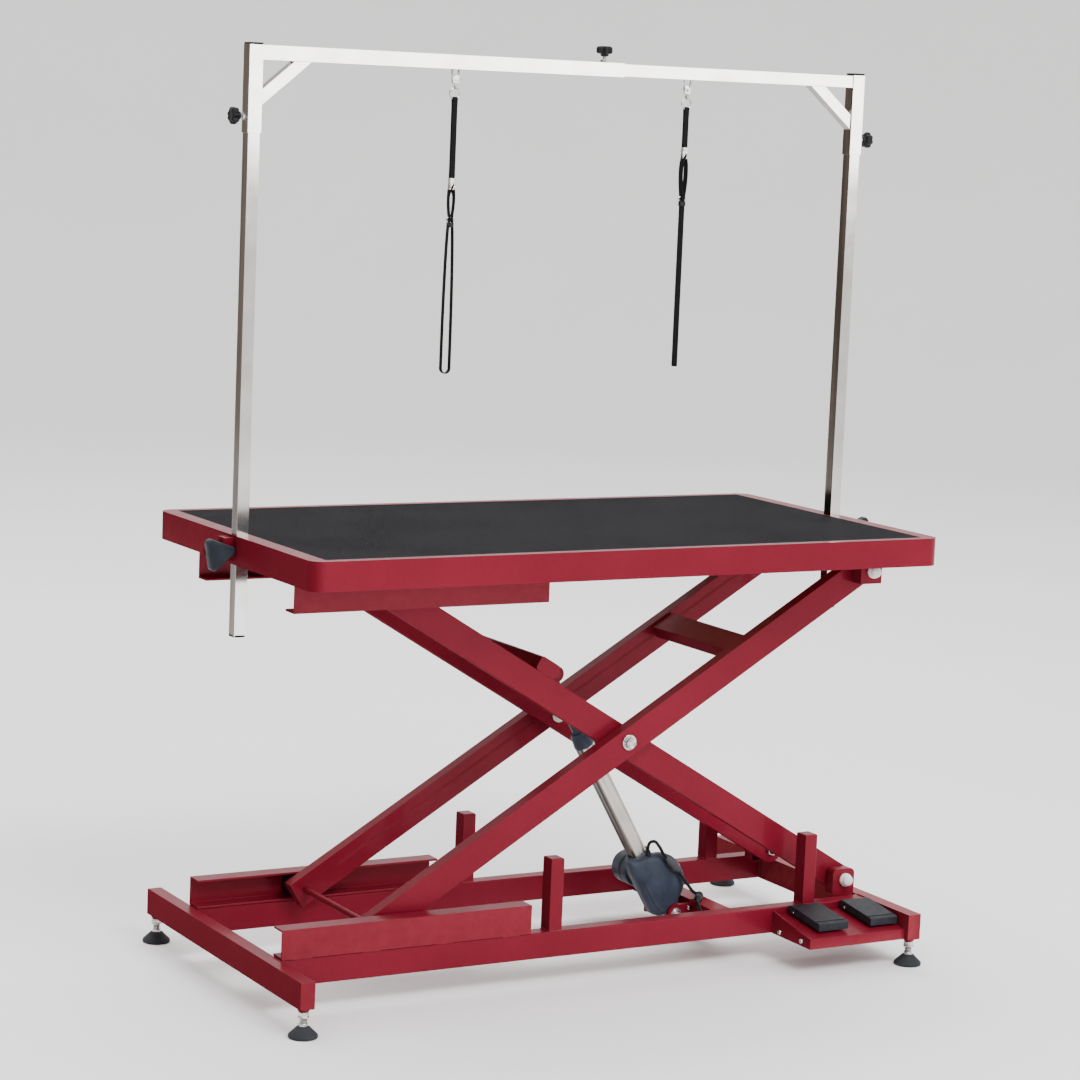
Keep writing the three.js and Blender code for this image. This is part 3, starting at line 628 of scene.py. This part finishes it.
def snap_hook(end, x, ring, lean):
    """A bolt snap: open jaw over the pin in the bar, a gate lever, a swivel and the ring under it."""
    pin = joint_at(f"leash_hook_{end}_swing").z
    hook = Piece()
    jaw = ([(x - lean * 3.4, 0, pin - 32), (x - lean * 5.2, 0, pin - 25), (x - lean * 6.2, 0, pin - 15),
            (x - lean * 6.6, 0, pin - 6)]
           + [(x - lean * 6.6 * math.cos(a), 0, pin - 4 + 8.2 * math.sin(a))
              for a in [math.pi * i / 10 for i in range(1, 10)]]
           + [(x + lean * 6.6, 0, pin - 6), (x + lean * 6.0, 0, pin - 11)])
    hook.tube(ZINC, smooth_path(jaw, 1.5), 1.9, 12)
    gate = [(x + lean * 6.8, 0, pin - 9), (x + lean * 5.4, 0, pin - 16), (x + lean * 2.0, 0, pin - 24)]
    hook.tube(ZINC, smooth_path(gate, 1.5), 1.7, 10)
    body = [(x - 5.5, pin - 31), (x + 5.5, pin - 31), (x + 6.5, pin - 23), (x + lean * 3.5 + 3, pin - 17),
            (x + lean * 3.5 - 3, pin - 17), (x - 6.5, pin - 23)]
    hook.prism(ZINC, body, -2.6, 2.6, "XZ", 1.4)
    hook.turned(ZINC, [(0, -3.6), (1.6, -3.6), (2.0, -3.1), (2.0, 3.1), (1.6, 3.6), (0, 3.6)],
                (x, 0, pin - 25.5), "Y", 20)
    lever = [(x + lean * 3, 0, pin - 22), (x + lean * 8, 0, pin - 22.5), (x + lean * 12.5, 0, pin - 23.5)]
    hook.tube(ZINC, smooth_path(lever, 1.5), 1.2, 10)
    hook.turned(ZINC, [(0, -41), (2.4, -41), (4.2, -39.5), (4.2, -36), (3.0, -34.8), (4.0, -33.6), (4.0, -31),
                       (0, -31)], (x, 0, pin), "Z", 28)
    hook.tube(ZINC, oval(x, ring + 9.5, 9.6, 9.6, 40), 1.75, 12, closed=True)
    hook.make(f"snap_hook_{end}", f"leash_hook_{end}", f"leash_hook_{end}", slot="zinc")


leash("left", x=-229, crimp=1404, slider=1333, turns=(0, 0), swell=3.4, wide=8.4, hook_lean=1)
leash("right", x=243, crimp=1471, slider=1380, turns=(18, 62), swell=5.0, wide=3.4, hook_lean=-1)

CABLE_R = 3.0
INLINE_TOP, INLINE_END = (250, -43.5, 168), (277, -43.5, 140)
PLUG_LOW, PLUG_TOP = (296, -86, 92.2), (326, -44, 92.2)
UPPER_CABLE = [(222, -25, 168), (222, -25, 176), (220, -25, 184), (222, -28, 195), (229, -35, 198),
               (236, -41, 188), (243, -43.5, 175.2), (249.1, -43.5, 168.9)]
MIDDLE_CABLE = [(277, -43.5, 140), (283, -44.5, 132), (291, -47, 121), (299, -50, 110), (306, -51, 101),
                (314, -49, 96.5), (321, -44, 94), (327, -40, 92.5)]
LOWER_CABLE = [(295.2, -87.1, 92.2), (290, -94.4, 91.6), (286, -112, 80), (287, -132, 68),
               (293, -148, 62), (300, -160.5, 61)]


def cable(name, points, body, nodes):
    """A lead through the points."""
    line = smooth_path(points, 3)
    made = Piece()
    made.tube(BLACK, line, CABLE_R, 14)
    made = made.make(name, body, *nodes, slot="black_plastic", soft=True)
    return made


def plug(name, low, high, r, mat, body, node):
    """An in-line connector: a collar, a ribbed grip and a tapered strain relief at each end."""
    a, b = Vector(low), Vector(high)
    long = (b - a).length
    made = Piece()
    profile = [(0, 0), (3.4, 0), (r * 0.7, 4), (r * 0.86, 9), (r, 10), (r, long * 0.48),
               (r * 0.88, long * 0.5), (r * 0.88, long * 0.54), (r, long * 0.56), (r, long - 10),
               (r * 0.84, long - 9), (r * 0.66, long - 3), (3.4, long), (0, long)]
    made.turned(mat, profile, a, b - a, 28)
    rib = [(0, -0.6), (r * 1.04, -0.6), (r * 1.07, 0), (r * 1.04, 0.6), (0, 0.6)]
    for i in range(5):
        at = a + (b - a) * (0.62 + 0.045 * i)
        made.turned(mat, rib, at, b - a, 28)
    return made.make(name, body, node, slot="black_plastic")


inline = plug("inline_connector", INLINE_TOP, INLINE_END, 7.2, GREY, "motor", "cable_connector")
black_plug = plug("cable_plug_body", PLUG_LOW, PLUG_TOP, 7.3, BLACK, "base", "cable_plug")
cable("actuator_lead", UPPER_CABLE, "motor", ["cable_upper"])
middle = cable("hanging_lead", MIDDLE_CABLE, None, [])
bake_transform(middle)
cable("rail_lead", LOWER_CABLE, "base", ["cable_lower"])


# ---- painted and plain CAD nodes
def dress(node, mat, bevel):
    """Gives a CAD node its material and rounds its edges with modifiers."""
    made = frame["nodes"][node]
    made.data.materials.clear()
    made.data.materials.append(mat)
    if "custom_normal" in made.data.attributes:
        made.data.attributes.remove(made.data.attributes["custom_normal"])
    for face in made.data.polygons:
        face.use_smooth = True
    weld = made.modifiers.new("merge", "WELD")
    weld.merge_threshold = 0.00002
    round_edges = made.modifiers.new("round", "BEVEL")
    round_edges.width = bevel * MM
    round_edges.segments = 3
    round_edges.limit_method = "ANGLE"
    round_edges.angle_limit = math.radians(32)
    round_edges.use_clamp_overlap = True
    round_edges.harden_normals = True
    return made


# The painted nodes, with the width their edges are rounded to.
EDGE = {"base_cross_tube_left": 3, "base_cross_tube_right": 2, "base_rail_front": 2.2, "base_rail_rear": 2.2,
        "base_channel_front": 1.2, "base_channel_rear": 1.2, "actuator_mount": 1.2, "pedal_platform": 1.0,
        "inner_arm_front": 1.3, "inner_arm_rear": 1.3, "outer_arm_front": 1.3, "outer_arm_rear": 1.3,
        "lift_beam": 1.4, "outer_cross_beam": 2, "lower_axle": 0.8, "table_rim": 1.3,
        "top_channel_front": 1.2, "top_channel_rear": 1.2, "deck_bearer_left": 2, "deck_bearer_middle": 2,
        "deck_bearer_right": 1.2}
for node, bevel in EDGE.items():
    dress(node, RED, bevel)
dress("table_mat", MAT, 0.8)
dress("table_board", WOOD, 0.6)
for node in ("post_left", "post_right", "hanger_left", "hanger_right"):
    dress(node, STEEL, 0.7)


# ---- base fittings
def feet():
    """A rubber pad, a threaded stem with its washer and lock nut, and the boss the stem screws into."""
    for end, _ in ENDS:
        for side, _ in SIDES:
            node = f"foot_{side}_{end}"
            low, high = box(node)
            x, y = (low.x + high.x) / 2, (low.y + high.y) / 2
            made = Piece()
            pad = [(0, 0), (23, 0), (24.6, 0.8), (25, 2.2), (25, 4.4), (24.4, 5.8), (22, 8.2), (16.5, 13.4),
                   (12.8, 17), (11.4, 18.6), (9.4, 19.4), (0, 19.6)]
            made.turned(RUBBER, pad, (x, y, 0), "Z", 56)
            stem = [(0, 18), (7.4, 18), (8, 19.6), (8, 23.4), (7, 24.8)]
            pitch = 1.25
            for i in range(16):
                stem += [(6.25, 25 + i * pitch), (5.6, 25.6 + i * pitch)]
            made.turned(ZINC, [*stem, (5.6, high.z), (0, high.z)], (x, y, 0), "Z", 28)
            made.hexagon(ZINC, 16, 36, 43.6, (x, y, 0))
            made.turned(ZINC, [(0, 34.4), (9.6, 34.4), (9.8, 35.2), (9.6, 36), (0, 36)], (x, y, 0), "Z", 32)
            made.make(f"{node}_levelling", node, node, slot="black_rubber")
            boss = Piece()
            boss.turned(RED, [(0, 45.5), (9.4, 45.5), (10, 46.2), (10, 50.4), (0, 50.4)], (x, y, 0), "Z", 36)
            boss.make(f"{node}_boss", "base", slot="red_paint")


def pivot_caps(node, body, out, low, inner):
    """A white nylon bush and dome on the outside of a pivot, and the bolt head inside."""
    at = joint_at("lift" if body == "base" else "table_level")
    dome = [(0, out), (12.3, out), (12.5, out + 0.6), (12.5, out + 4.4), (11.8, out + 5.4),
            (10.5, out + 5.6), (10.4, out + 10.5), (9.2, out + 13), (6.5, out + 14.8), (3, out + 15.6),
            (0, out + 15.7)]
    for side, sign in SIDES:
        made = Piece()
        made.turned(NYLON, flipped(dome, sign), at, "Y", 44)
        made.rod(ZINC, 8, sign * low, sign * out, at, "Y")
        made.hexagon(ZINC, 20, sign * low, sign * inner, at, "Y")
        made.make(f"{node}_{side}_cap", body, f"{node}_{side}", slot="white_nylon")


def centre_bolts():
    """The bolt through each crossing: washer and head outside, a nylon cap on the inner arm."""
    at = joint_at("scissor")
    washer_end, head_end = 157.8, 164.6
    washer = [(0, 155.4), (13.4, 155.4), (14, 156), (14, 157.2), (13.2, washer_end), (0, washer_end)]
    cap = [(0, 99.6), (12, 99.6), (12, 96), (11, 94.6), (9.6, 94.4), (9.2, 90.6), (6, 88.6), (0, 88.1)]
    for side, sign in SIDES:
        made = Piece()
        made.turned(ZINC, flipped(washer, sign), at, "Y", 44)
        made.hexagon(ZINC, 19, sign * washer_end, sign * head_end, at, "Y")
        made.rod(ZINC, 6, sign * 99, sign * 156, at, "Y", 24)
        made.turned(NYLON, flipped(cap, sign), at, "Y", 40)
        made.make(f"centre_bolt_{side}_set", "outer_arms", f"centre_bolt_{side}", slot="zinc")


def rollers():
    """A rim and a hub joined by a thin web, round an open bore."""
    for prefix in ("base", "top"):
        for side, _ in SIDES:
            node = f"{prefix}_roller_{side}"
            at = joint_at(f"{node}_spin")
            low, high = box(node)
            y0, y1 = low.y, high.y
            profile = [(6.6, y0 + 2), (9.5, y0 + 2), (10, y0 + 4), (16.5, y0 + 4), (17.5, y0), (20.2, y0),
                       (21, y0 + 1), (21, y1 - 1), (20.2, y1), (17.5, y1), (16.5, y1 - 4), (10, y1 - 4),
                       (9.5, y1 - 2), (6.6, y1 - 2)]
            made = Piece()
            made.hoop(BLACK, profile, at, PLANES["XZ"], 48)
            made.make(f"{node}_wheel", node, node, slot="black_plastic")


def pedals():
    """A sloping tread on a pivot pin, and the fixed shoe under it."""
    for end, _ in ENDS:
        node = f"pedal_{end}"
        low, high = box(node)
        pivot = joint_at(f"{node}_press")
        made = Piece()
        side = [(low.y + 0.6, low.z + 0.8), (high.y - 1, high.z - 14), (high.y - 0.4, high.z - 2.4),
                (high.y - 10, high.z - 0.3), (low.y + 3, high.z - 12), (low.y + 0.4, high.z - 13.4)]
        made.prism(PEDAL, side, low.x + 0.6, high.x - 0.6, "YZ", 2.4, 4)
        lip = (low.x + 2.4, low.y + 11, high.z - 12), (high.x - 2.4, low.y + 13.5, high.z - 9.7)
        made.block(PEDAL, *lip, 0.9, 3)
        wide = high.x - low.x
        pin = [(0, -1), (2.6, -1), (3, -0.4), (3, wide + 0.4), (2.6, wide + 1), (0, wide + 1)]
        made.turned(ZINC, pin, (low.x, pivot.y, pivot.z), "X", 20)
        made.make(f"{node}_tread", node, node, slot="black_plastic")
        shoe = Piece()
        floor = [(low.y + 10, low.z - 6.2), (high.y - 1.5, low.z + 8.3), (high.y - 1.5, low.z + 9.9),
                 (low.y + 10, low.z - 3.8)]
        shoe.prism(PEDAL, floor, low.x + 6, high.x - 6, "YZ", 0.5)
        shoe.make(f"{node}_shoe", "base", slot="black_plastic")


def platform_details():
    """Two socket-head screws in the platform's left side."""
    low, _ = box("pedal_platform")
    head = [(0, -2.6), (3.6, -2.6), (4.6, -1.2), (4.6, -0.1), (0, -0.1)]
    made = Piece()
    for y, z in ((-221, 58), (-291, 59)):
        made.turned(ZINC, head, (low.x, y, z), "X", 28)
        made.rod(BLACK, 1.5, -2.8, -2.5, (low.x, y, z), "X", 6)
    made.make("platform_screws", "base", slot="zinc")


def actuator_pins():
    """The actuator's lower pin with its washers and ends, the bracket's bolts, and the cable's grommet."""
    at = joint_at("motor_swing")
    made = Piece()
    low, high = box("actuator_base_pin")
    made.rod(ZINC, 7, low.y + 3, high.y - 3, at, "Y", 32)
    washer, washer_end = 44.2, 45.6
    pin_end = [(0, washer_end), (7.4, washer_end), (7.4, 48.4), (6.2, 49.8), (0, 50.4)]
    bracket_bolt = [(0, 44.1), (4.6, 44.1), (4.4, 46), (3, 47.2), (0, 47.6)]
    for sign in (-1, 1):
        made.rod(ZINC, 10.4, sign * washer, sign * washer_end, at, "Y", 32)
        made.turned(ZINC, flipped(pin_end, sign), at, "Y", 32)
        made.turned(ZINC, flipped(bracket_bolt, sign), (304, 0, 68), "Y", 24)
    made.make("actuator_pin_set", "base", "actuator_base_pin", slot="zinc")
    grommet = Piece()
    grommet.turned(BLACK, [(0, -166), (7, -166), (7.4, -165), (7, -163), (4.2, -160.5), (0, -160.5)],
                   (300, 0, 61), "Y", 28)
    grommet.make("cable_grommet", "base", slot="black_plastic")


def weld_beads():
    """Beads where the stop posts, cross tubes and base channels meet the rails."""
    rail_top, rail_end = 97.4, 598.6
    made = Piece()
    for side, sign in SIDES:
        low, high = box(f"base_rail_{side}")
        posts = (-70, 468) if side == "front" else (-54, 485)
        for n, x in enumerate(posts):
            for y in (low.y + 1, high.y - 1):
                made.weld([(x - 12, y, rail_top), (x, y, rail_top + 0.2), (x + 12, y, rail_top)], 2.0, n)
            for dx in (-13, 13):
                made.weld([(x + dx, low.y + 2, rail_top), (x + dx, high.y - 2, rail_top)], 2.0, n)
        for ex in (-1, 1):
            x = ex * rail_end
            made.weld([(x, low.y + 1, rail_top - 0.4), (x, high.y - 1, rail_top - 0.4)], 2.0, 0.5)
            made.weld([(x, low.y + 0.2, 52), (x, low.y + 0.2, 95)], 1.8, 1.5)
        channel_low, channel_high = box(f"base_channel_{side}")
        face = channel_low.y if sign < 0 else channel_high.y
        for x in (-560, -430, -290, -160):
            y = face - sign * 1.6
            made.weld([(x - 17, y, rail_top - 0.2), (x + 17, y, rail_top - 0.2)], 1.5, x)
    made.make("base_welds", "base", slot="red_paint")


def seams():
    """The rolled tubes' weld seams, seen along the inner faces of the rear arms."""
    centre = joint_at("scissor")
    lean = math.atan2(joint_at("table_level").z - centre.z, joint_at("table_level").x - centre.x)
    for body, turn, face, off in (("outer_arms", lean, 129.8, 3), ("inner_arms", -lean, 99.8, 14)):
        along = Vector((math.cos(turn), 0, math.sin(turn)))
        over = Vector((-math.sin(turn), 0, math.cos(turn)))
        made = Piece()
        for shift in (0, 3.4):
            start = centre + along * -500 + over * (off + shift)
            ends = [start, start + along * 500, start + along * 1000]
            made.tube(RED, [Vector((p.x, face, p.z)) for p in ends], 0.6, 8)
        made.make(f"{body}_tube_seam", body, slot="red_paint")


feet()
seams()
pivot_caps("base_pivot_pin", "base", 150.2, 92.5, 99.6)
pivot_caps("table_pivot_pin", "tabletop", 185.2, 122.5, 129.6)
centre_bolts()
rollers()
pedals()
platform_details()
actuator_pins()
weld_beads()


# ---- actuator
ACT_FOOT = joint_at("motor_swing")
ACT_AXIS = Vector(JOINTS["rod_stroke"]["axis"])
GEAR_CENTRE, CAN_CENTRE = (252, 0, 117), (235, 0, 128)


def housing():
    """The gearbox: a bulged front cover with a raised rib, the tube's collar, and the motor can behind."""
    made = Piece()
    outline = [(179, 162), (181, 148), (187, 134), (194, 123), (226, 69), (232, 60), (243, 54.5), (256, 54),
               (268, 58), (277, 65), (286, 78), (294, 91), (300, 106), (301, 119), (298, 132), (291, 145),
               (280, 159), (267, 168), (250, 172), (236, 171.5), (221, 170), (200, 165.5)]
    rim = smooth_loop([(x, 0, z) for x, z in outline], 3)
    middle = Vector((245, 0, 112))
    profile = [(0.0, -10.5), (0.9, -10.5), (0.985, -11.5), (1, -13), (1, -26), (0.994, -28.5), (0.975, -30),
               (0.968, -30.4), (0.964, -31.6), (0.94, -33.6), (0.88, -35.4), (0.78, -36.8), (0.62, -38),
               (0.4, -38.8), (0.2, -39.1), (0.0, -39.2)]
    rings = [[middle + (p - middle) * share + Vector((0, y, 0)) for p in (rim if share else [middle])]
             for share, y in profile]
    made._add(NAVY, rings)
    rib = smooth_path([(192, -31, 158), (197, -33, 143), (208, -35, 124), (222, -36, 100), (236, -36, 78),
                       (247, -35, 68), (258, -33, 64)], 3)
    made.tube(NAVY, rib, 3.4, 12)
    x, z = ACT_FOOT.x, ACT_FOOT.z
    lug = [*arc(x, z, 12.6, 180, 360, 10), (x + 12.6, z + 34), (x - 12.6, z + 34)]
    made.prism(NAVY, lug, -29.5, 29.5, "XZ", 1.5, 2)
    made.turned(NAVY, [(0, 92), (24.5, 92), (25, 96), (24, 120), (23.2, 126), (21.6, 128.4), (0, 128.4)],
                (x, 0, z), ACT_AXIS, 48)
    made.turned(NAVY, [(0, -12), (34, -12), (34, 24), (32.5, 28), (28, 30), (0, 30)], GEAR_CENTRE, "Y", 64)
    can = [(0, 26), (30, 26), (31, 30), (31, 44), (29.6, 45), (29.6, 49), (31, 50), (31, 73), (29, 78),
           (25, 80), (0, 80)]
    made.turned(NAVY, can, CAN_CENTRE, "Y", 56)
    made.rod(BLACK, 30.2, 46, 48, CAN_CENTRE, "Y", 56)
    made.turned(BLACK, [(0, 160), (5.4, 160), (5.4, 170), (4.6, 174), (3.6, 178), (0, 178)],
                (222, -25, 0), "Z", 24)
    screw = [(0, -31.6), (2.2, -31.6), (2.6, -31), (2.6, -28), (0, -28)]
    for x, z in ((240, 61), (291, 96), (286, 148), (256, 166)):
        made.turned(ZINC, screw, (x, 0, z), "Y", 20)
    made.make("motor_gearbox", "motor", "motor_housing", slot="navy_plastic")


def extrusion():
    """The outer tube, squarish with a groove in each face; its gland; and the rod with its eye and bolts."""
    made = Piece()
    half, groove, corner, depth, slope = 15.8, 1.6, 7.5, 0.7, 1.2
    tube_low, tube_high = 125.4, 374
    face = [(half, -groove - slope), (half - depth, -groove), (half - depth, groove), (half, groove + slope),
            *arc(half - corner, half - corner, corner, 0, 90, 8)]
    outline = []
    for turn in range(4):
        a = turn * math.pi / 2
        outline += [(x * math.cos(a) - y * math.sin(a), x * math.sin(a) + y * math.cos(a)) for x, y in face]
    across = Vector((0, 1, 0))
    other = ACT_AXIS.cross(across)
    foot = Vector((ACT_FOOT.x, 0, ACT_FOOT.z))
    rings = [[foot + ACT_AXIS * h + across * u + other * v for u, v in outline]
             for h in (tube_low, tube_high)]
    made._bevel(made._add(TUBE, rings), 0.5, 2, 60)
    gland = [(11, 372.6), (17.4, 372.6), (18.8, 373.6), (18.9, 381), (18, 382), (17.6, 391), (16.2, 398),
             (14.6, 401.4), (11, 401.8)]
    made.hoop(NAVY, gland, foot, (across, other, ACT_AXIS), 48)
    made.make("actuator_extrusion", "motor", "actuator_tube", slot="actuator_tube")
    rod = Piece()
    length = 536.3
    rod.turned(NAVY, [(0, 252), (9.9, 252), (9.9, length - 30), (10.6, length - 27), (10.6, length - 16),
                      (9, length - 9), (0, length - 9)], foot, ACT_AXIS, 36)
    at = foot + ACT_AXIS * length
    eye = [(7.2, -12), (11.2, -12), (12, -11), (12, 11), (11.2, 12), (7.2, 12)]
    rod.hoop(ZINC, eye, at, PLANES["XZ"], 40)
    rod.make("actuator_rod_eye", "actuator_rod", "actuator_rod", slot="zinc")
    ears = Piece()
    head = [(0, 29.8), (8.4, 29.8), (7.6, 31.6), (0, 32.4)]
    for sign in (-1, 1):
        ears.rod(ZINC, 6.6, sign * 20.4, sign * 30, at, "Y")
        ears.turned(RED, flipped(head, sign), at, "Y", 36)
    ears.make("actuator_top_bolts", "inner_arms", slot="red_paint")


housing()
extrusion()


# ---- knobs and caps
STAR_LOBES = 7
SIDE_KNOB, SIDE_KNOB_Z, TOP_KNOB_X = 636, 1498, 67.5
HANGER_TOP = 1616.5


def star_knob(node, at, along):
    """A lobed knob with a dished face, on a threaded screw."""
    made = Piece()
    axis = Vector(along)
    across = axis.orthogonal().normalized()
    other = axis.cross(across)

    def ring(h, radius, lobe):
        return [at + axis * h + (across * math.cos(t) + other * math.sin(t))
                * (radius + lobe * math.cos(STAR_LOBES * t)) for t in circle(16 * STAR_LOBES)]

    rings = [[at], ring(0, 6.5, 0), ring(0, 9, 0.2), ring(1.2, 12.0, 1.4), ring(3, 13.0, 1.9),
             ring(9, 13.1, 1.9), ring(11.6, 12.6, 1.7), ring(13.3, 11, 1.0), ring(13.9, 9, 0.4),
             ring(13.6, 7.4, 0.1), ring(12.8, 6.6, 0), ring(12.8, 4, 0), [at + axis * 12.8]]
    made._add(BLACK, rings)
    made.turned(BLACK, [(0, -4), (6.4, -4), (7.2, -3), (7.4, 0.6), (0, 0.6)], at, axis, 36)
    screw = [(0, -15)]
    for i in range(11):
        screw += [(3.9, -14.6 + i), (3.3, -14.1 + i)]
    made.turned(ZINC, [*screw, (3.3, -3), (0, -3)], at, axis, 24)
    made.make(f"{node}_moulded", node, node, slot="black_plastic")


def clamp_knob(end, sign):
    """A rounded triangle on a pinch screw."""
    node = f"clamp_knob_{end}"
    at = joint_at(f"{node}_turn")
    low, high = box(node)
    facing = 10 if sign < 0 else 170
    reach, corner, waist = 21.5, 9, 19.5
    made = Piece()

    def ring(y, grow):
        """The outline at a depth: three round corners with slightly bulging sides between them."""
        points = []
        for k in range(3):
            a = facing + 120 * k
            out = reach + grow * 0.2
            x, z = at.x + out * math.cos(math.radians(a)), at.z + out * math.sin(math.radians(a))
            points += arc(x, z, corner + grow, a - 48, a + 48, 10)
            for off in (-14, -7, 0, 7, 14):
                b = math.radians(a + 60 + off)
                bulge = (waist + grow) / math.cos(math.radians(off)) ** 0.3
                points.append((at.x + bulge * math.cos(b), at.z + bulge * math.sin(b)))
        return [Vector((x, y, z)) for x, z in points]

    front = low.y
    rings = [[Vector((at.x, front + 1.6, at.z))], ring(front + 1.4, -7), ring(front + 0.4, -4.6),
             ring(front, -2.6), ring(front + 1.0, -0.8), ring(front + 3.4, 0), ring(front + 13.4, 0),
             ring(front + 15.4, -1.2), ring(front + 16, -3.2), [Vector((at.x, front + 16, at.z))]]
    made._add(KNOB, rings)
    made.turned(ZINC, [(0, -11), (6, -11), (6, -8.6), (3.9, -8.6), (3.9, 19.5), (3.2, 20), (0, 20)],
                (at.x, 0, at.z), "Y", 28)
    made.make(f"{node}_grip", node, node, slot="black_plastic")


def plastic_cap(made, x, z, half, up):
    """A square end plug with a rounded rim, over the end of a tube."""
    low, high = (z, z + 3.4) if up else (z - 3.4, z)
    made.prism(BLACK, rounded(x - half, x + half, -half, half, 1.5), low, high, "XY", 0.9)
    inner = half - 1.7
    low, high = (z - 12, z + 1) if up else (z - 1, z + 12)
    made.prism(BLACK, rounded(x - inner, x + inner, -inner, inner, 1.5), low, high, "XY", 0.4)


def overhead():
    """End plugs, knobs and their nuts on the posts and hangers."""
    for end, sign in ENDS:
        low, high = box(f"post_{end}")
        x = (low.x + high.x) / 2
        made = Piece()
        plastic_cap(made, x, low.z + 3.4, 11, False)
        made.make(f"post_{end}_end_plug", f"post_{end}", slot="black_plastic")
        made = Piece()
        plastic_cap(made, x, HANGER_TOP, 12.4, True)
        made.make(f"hanger_{end}_end_plug", "hanger", slot="black_plastic")
        nut = Piece()
        nut.hexagon(ZINC, 13, sign * 622.2, sign * 628, (0, 0, SIDE_KNOB_Z), "X")
        nut.make(f"sleeve_nut_{end}", "hanger", slot="zinc")
        clamp_knob(end, sign)
        star_knob(f"star_knob_{end}", Vector((sign * SIDE_KNOB, 0, SIDE_KNOB_Z)), (sign, 0, 0))
    star_knob("star_knob_top", Vector((TOP_KNOB_X, 0, 1631)), (0, 0, 1))
    nut = Piece()
    nut.hexagon(ZINC, 13, 1616.2, 1621, (TOP_KNOB_X, 0, 0))
    nut.make("bar_nut", "hanger", slot="zinc")


overhead()


# ---- floor and light
FLOOR_REACH, COVE_RADIUS, COVE_TOP = 12, 3, 9
COVE_HALF, COVE_STEP = 48, 4


def stage():
    """A pale floor that curves up into a wall behind the table, as seen by the camera."""
    yaws = [CAMERA_YAW + math.radians(a) for a in range(-COVE_HALF, COVE_HALF + 1, COVE_STEP)]
    flat = FLOOR_REACH - COVE_RADIUS
    profile = [*arc(flat, COVE_RADIUS, COVE_RADIUS, -90, 0, 12), (FLOOR_REACH, COVE_TOP)]
    verts = [(0.0, 0.0, 0.0)]
    for yaw in yaws:
        verts += [(math.sin(yaw) * r, math.cos(yaw) * r, z) for r, z in profile]
    row = len(profile)
    faces = [(0, 1 + i * row, 1 + (i + 1) * row) for i in range(len(yaws) - 1)]
    faces += [(1 + i * row + k, 2 + i * row + k, 2 + (i + 1) * row + k, 1 + (i + 1) * row + k)
              for i in range(len(yaws) - 1) for k in range(row - 1)]
    rest = evenly(yaws[-1], yaws[0] + 2 * math.pi, 12)
    start = len(verts)
    verts += [(math.sin(a) * flat, math.cos(a) * flat, 0) for a in rest]
    faces += [(0, start + i, start + i + 1) for i in range(12)]
    mesh = bpy.data.meshes.new("floor")
    mesh.from_pydata(verts, [], faces)
    floor = bpy.data.objects.new("floor", mesh)
    s = Shader("pale_floor", (0.86, 0.86, 0.86), 0.8)
    s.color(s.ramp(s.noise(1.5, 2), (0.3, (0.87, 0.87, 0.87)), (0.7, (0.89, 0.89, 0.89))))
    for face in mesh.polygons:
        face.use_smooth = True
    mesh.materials.append(s.mat)
    bpy.context.scene.collection.objects.link(floor)


def light(name, place, aim, size, power):
    """A rectangular softbox turned to a point."""
    data = bpy.data.lights.new(name, "AREA")
    data.shape = "RECTANGLE"
    data.size, data.size_y = size
    data.energy = power
    lamp = bpy.data.objects.new(name, data)
    lamp.location = place
    lamp.rotation_euler = (Vector(aim) - Vector(place)).to_track_quat("-Z", "Y").to_euler()
    bpy.context.scene.collection.objects.link(lamp)


def studio():
    """A plain pale surround, dimmer towards the left end and the front, and three softboxes."""
    world = bpy.data.worlds.new("studio")
    world.use_nodes = True
    tree = world.node_tree
    place = tree.nodes.new("ShaderNodeTexCoord").outputs["Generated"]

    def facing(direction, start, end):
        """0 to 1 as a ray turns towards a direction."""
        dot = tree.nodes.new("ShaderNodeVectorMath")
        dot.operation = "DOT_PRODUCT"
        dot.inputs[1].default_value = direction
        tree.links.new(place, dot.inputs[0])
        span = tree.nodes.new("ShaderNodeMapRange")
        span.interpolation_type = "SMOOTHSTEP"
        span.inputs["From Min"].default_value = start
        span.inputs["From Max"].default_value = end
        tree.links.new(dot.outputs["Value"], span.inputs["Value"])
        return span.outputs["Result"]

    dim_left = mixed(tree, facing((-1, 0, 0), -0.1, 0.3), (2.0, 2.0, 2.02), (0.8, 0.7, 0.62))
    dim_front = mixed(tree, facing((0, -1, 0), 0.2, 0.7), dim_left, (1.0, 0.97, 0.94))
    sky = mixed(tree, facing((0, 0, 1), 0.35, 0.8), dim_front, (1.5, 1.5, 1.52))
    tree.links.new(sky, tree.nodes["Background"].inputs["Color"])
    bpy.context.scene.world = world
    light("key_softbox", place=(0.3, -4.2, 4.4), aim=(0, 0, 0.6), size=(2.6, 1.8), power=300)
    light("steel_softbox", place=(2.7, -4.3, 1.9), aim=(0, 0, 1.5), size=(3.2, 1.1), power=60)
    light("floor_softbox", place=(0.5, 3.2, 5.2), aim=(0.5, 2.2, 0), size=(6, 4), power=260)


stage()
studio()
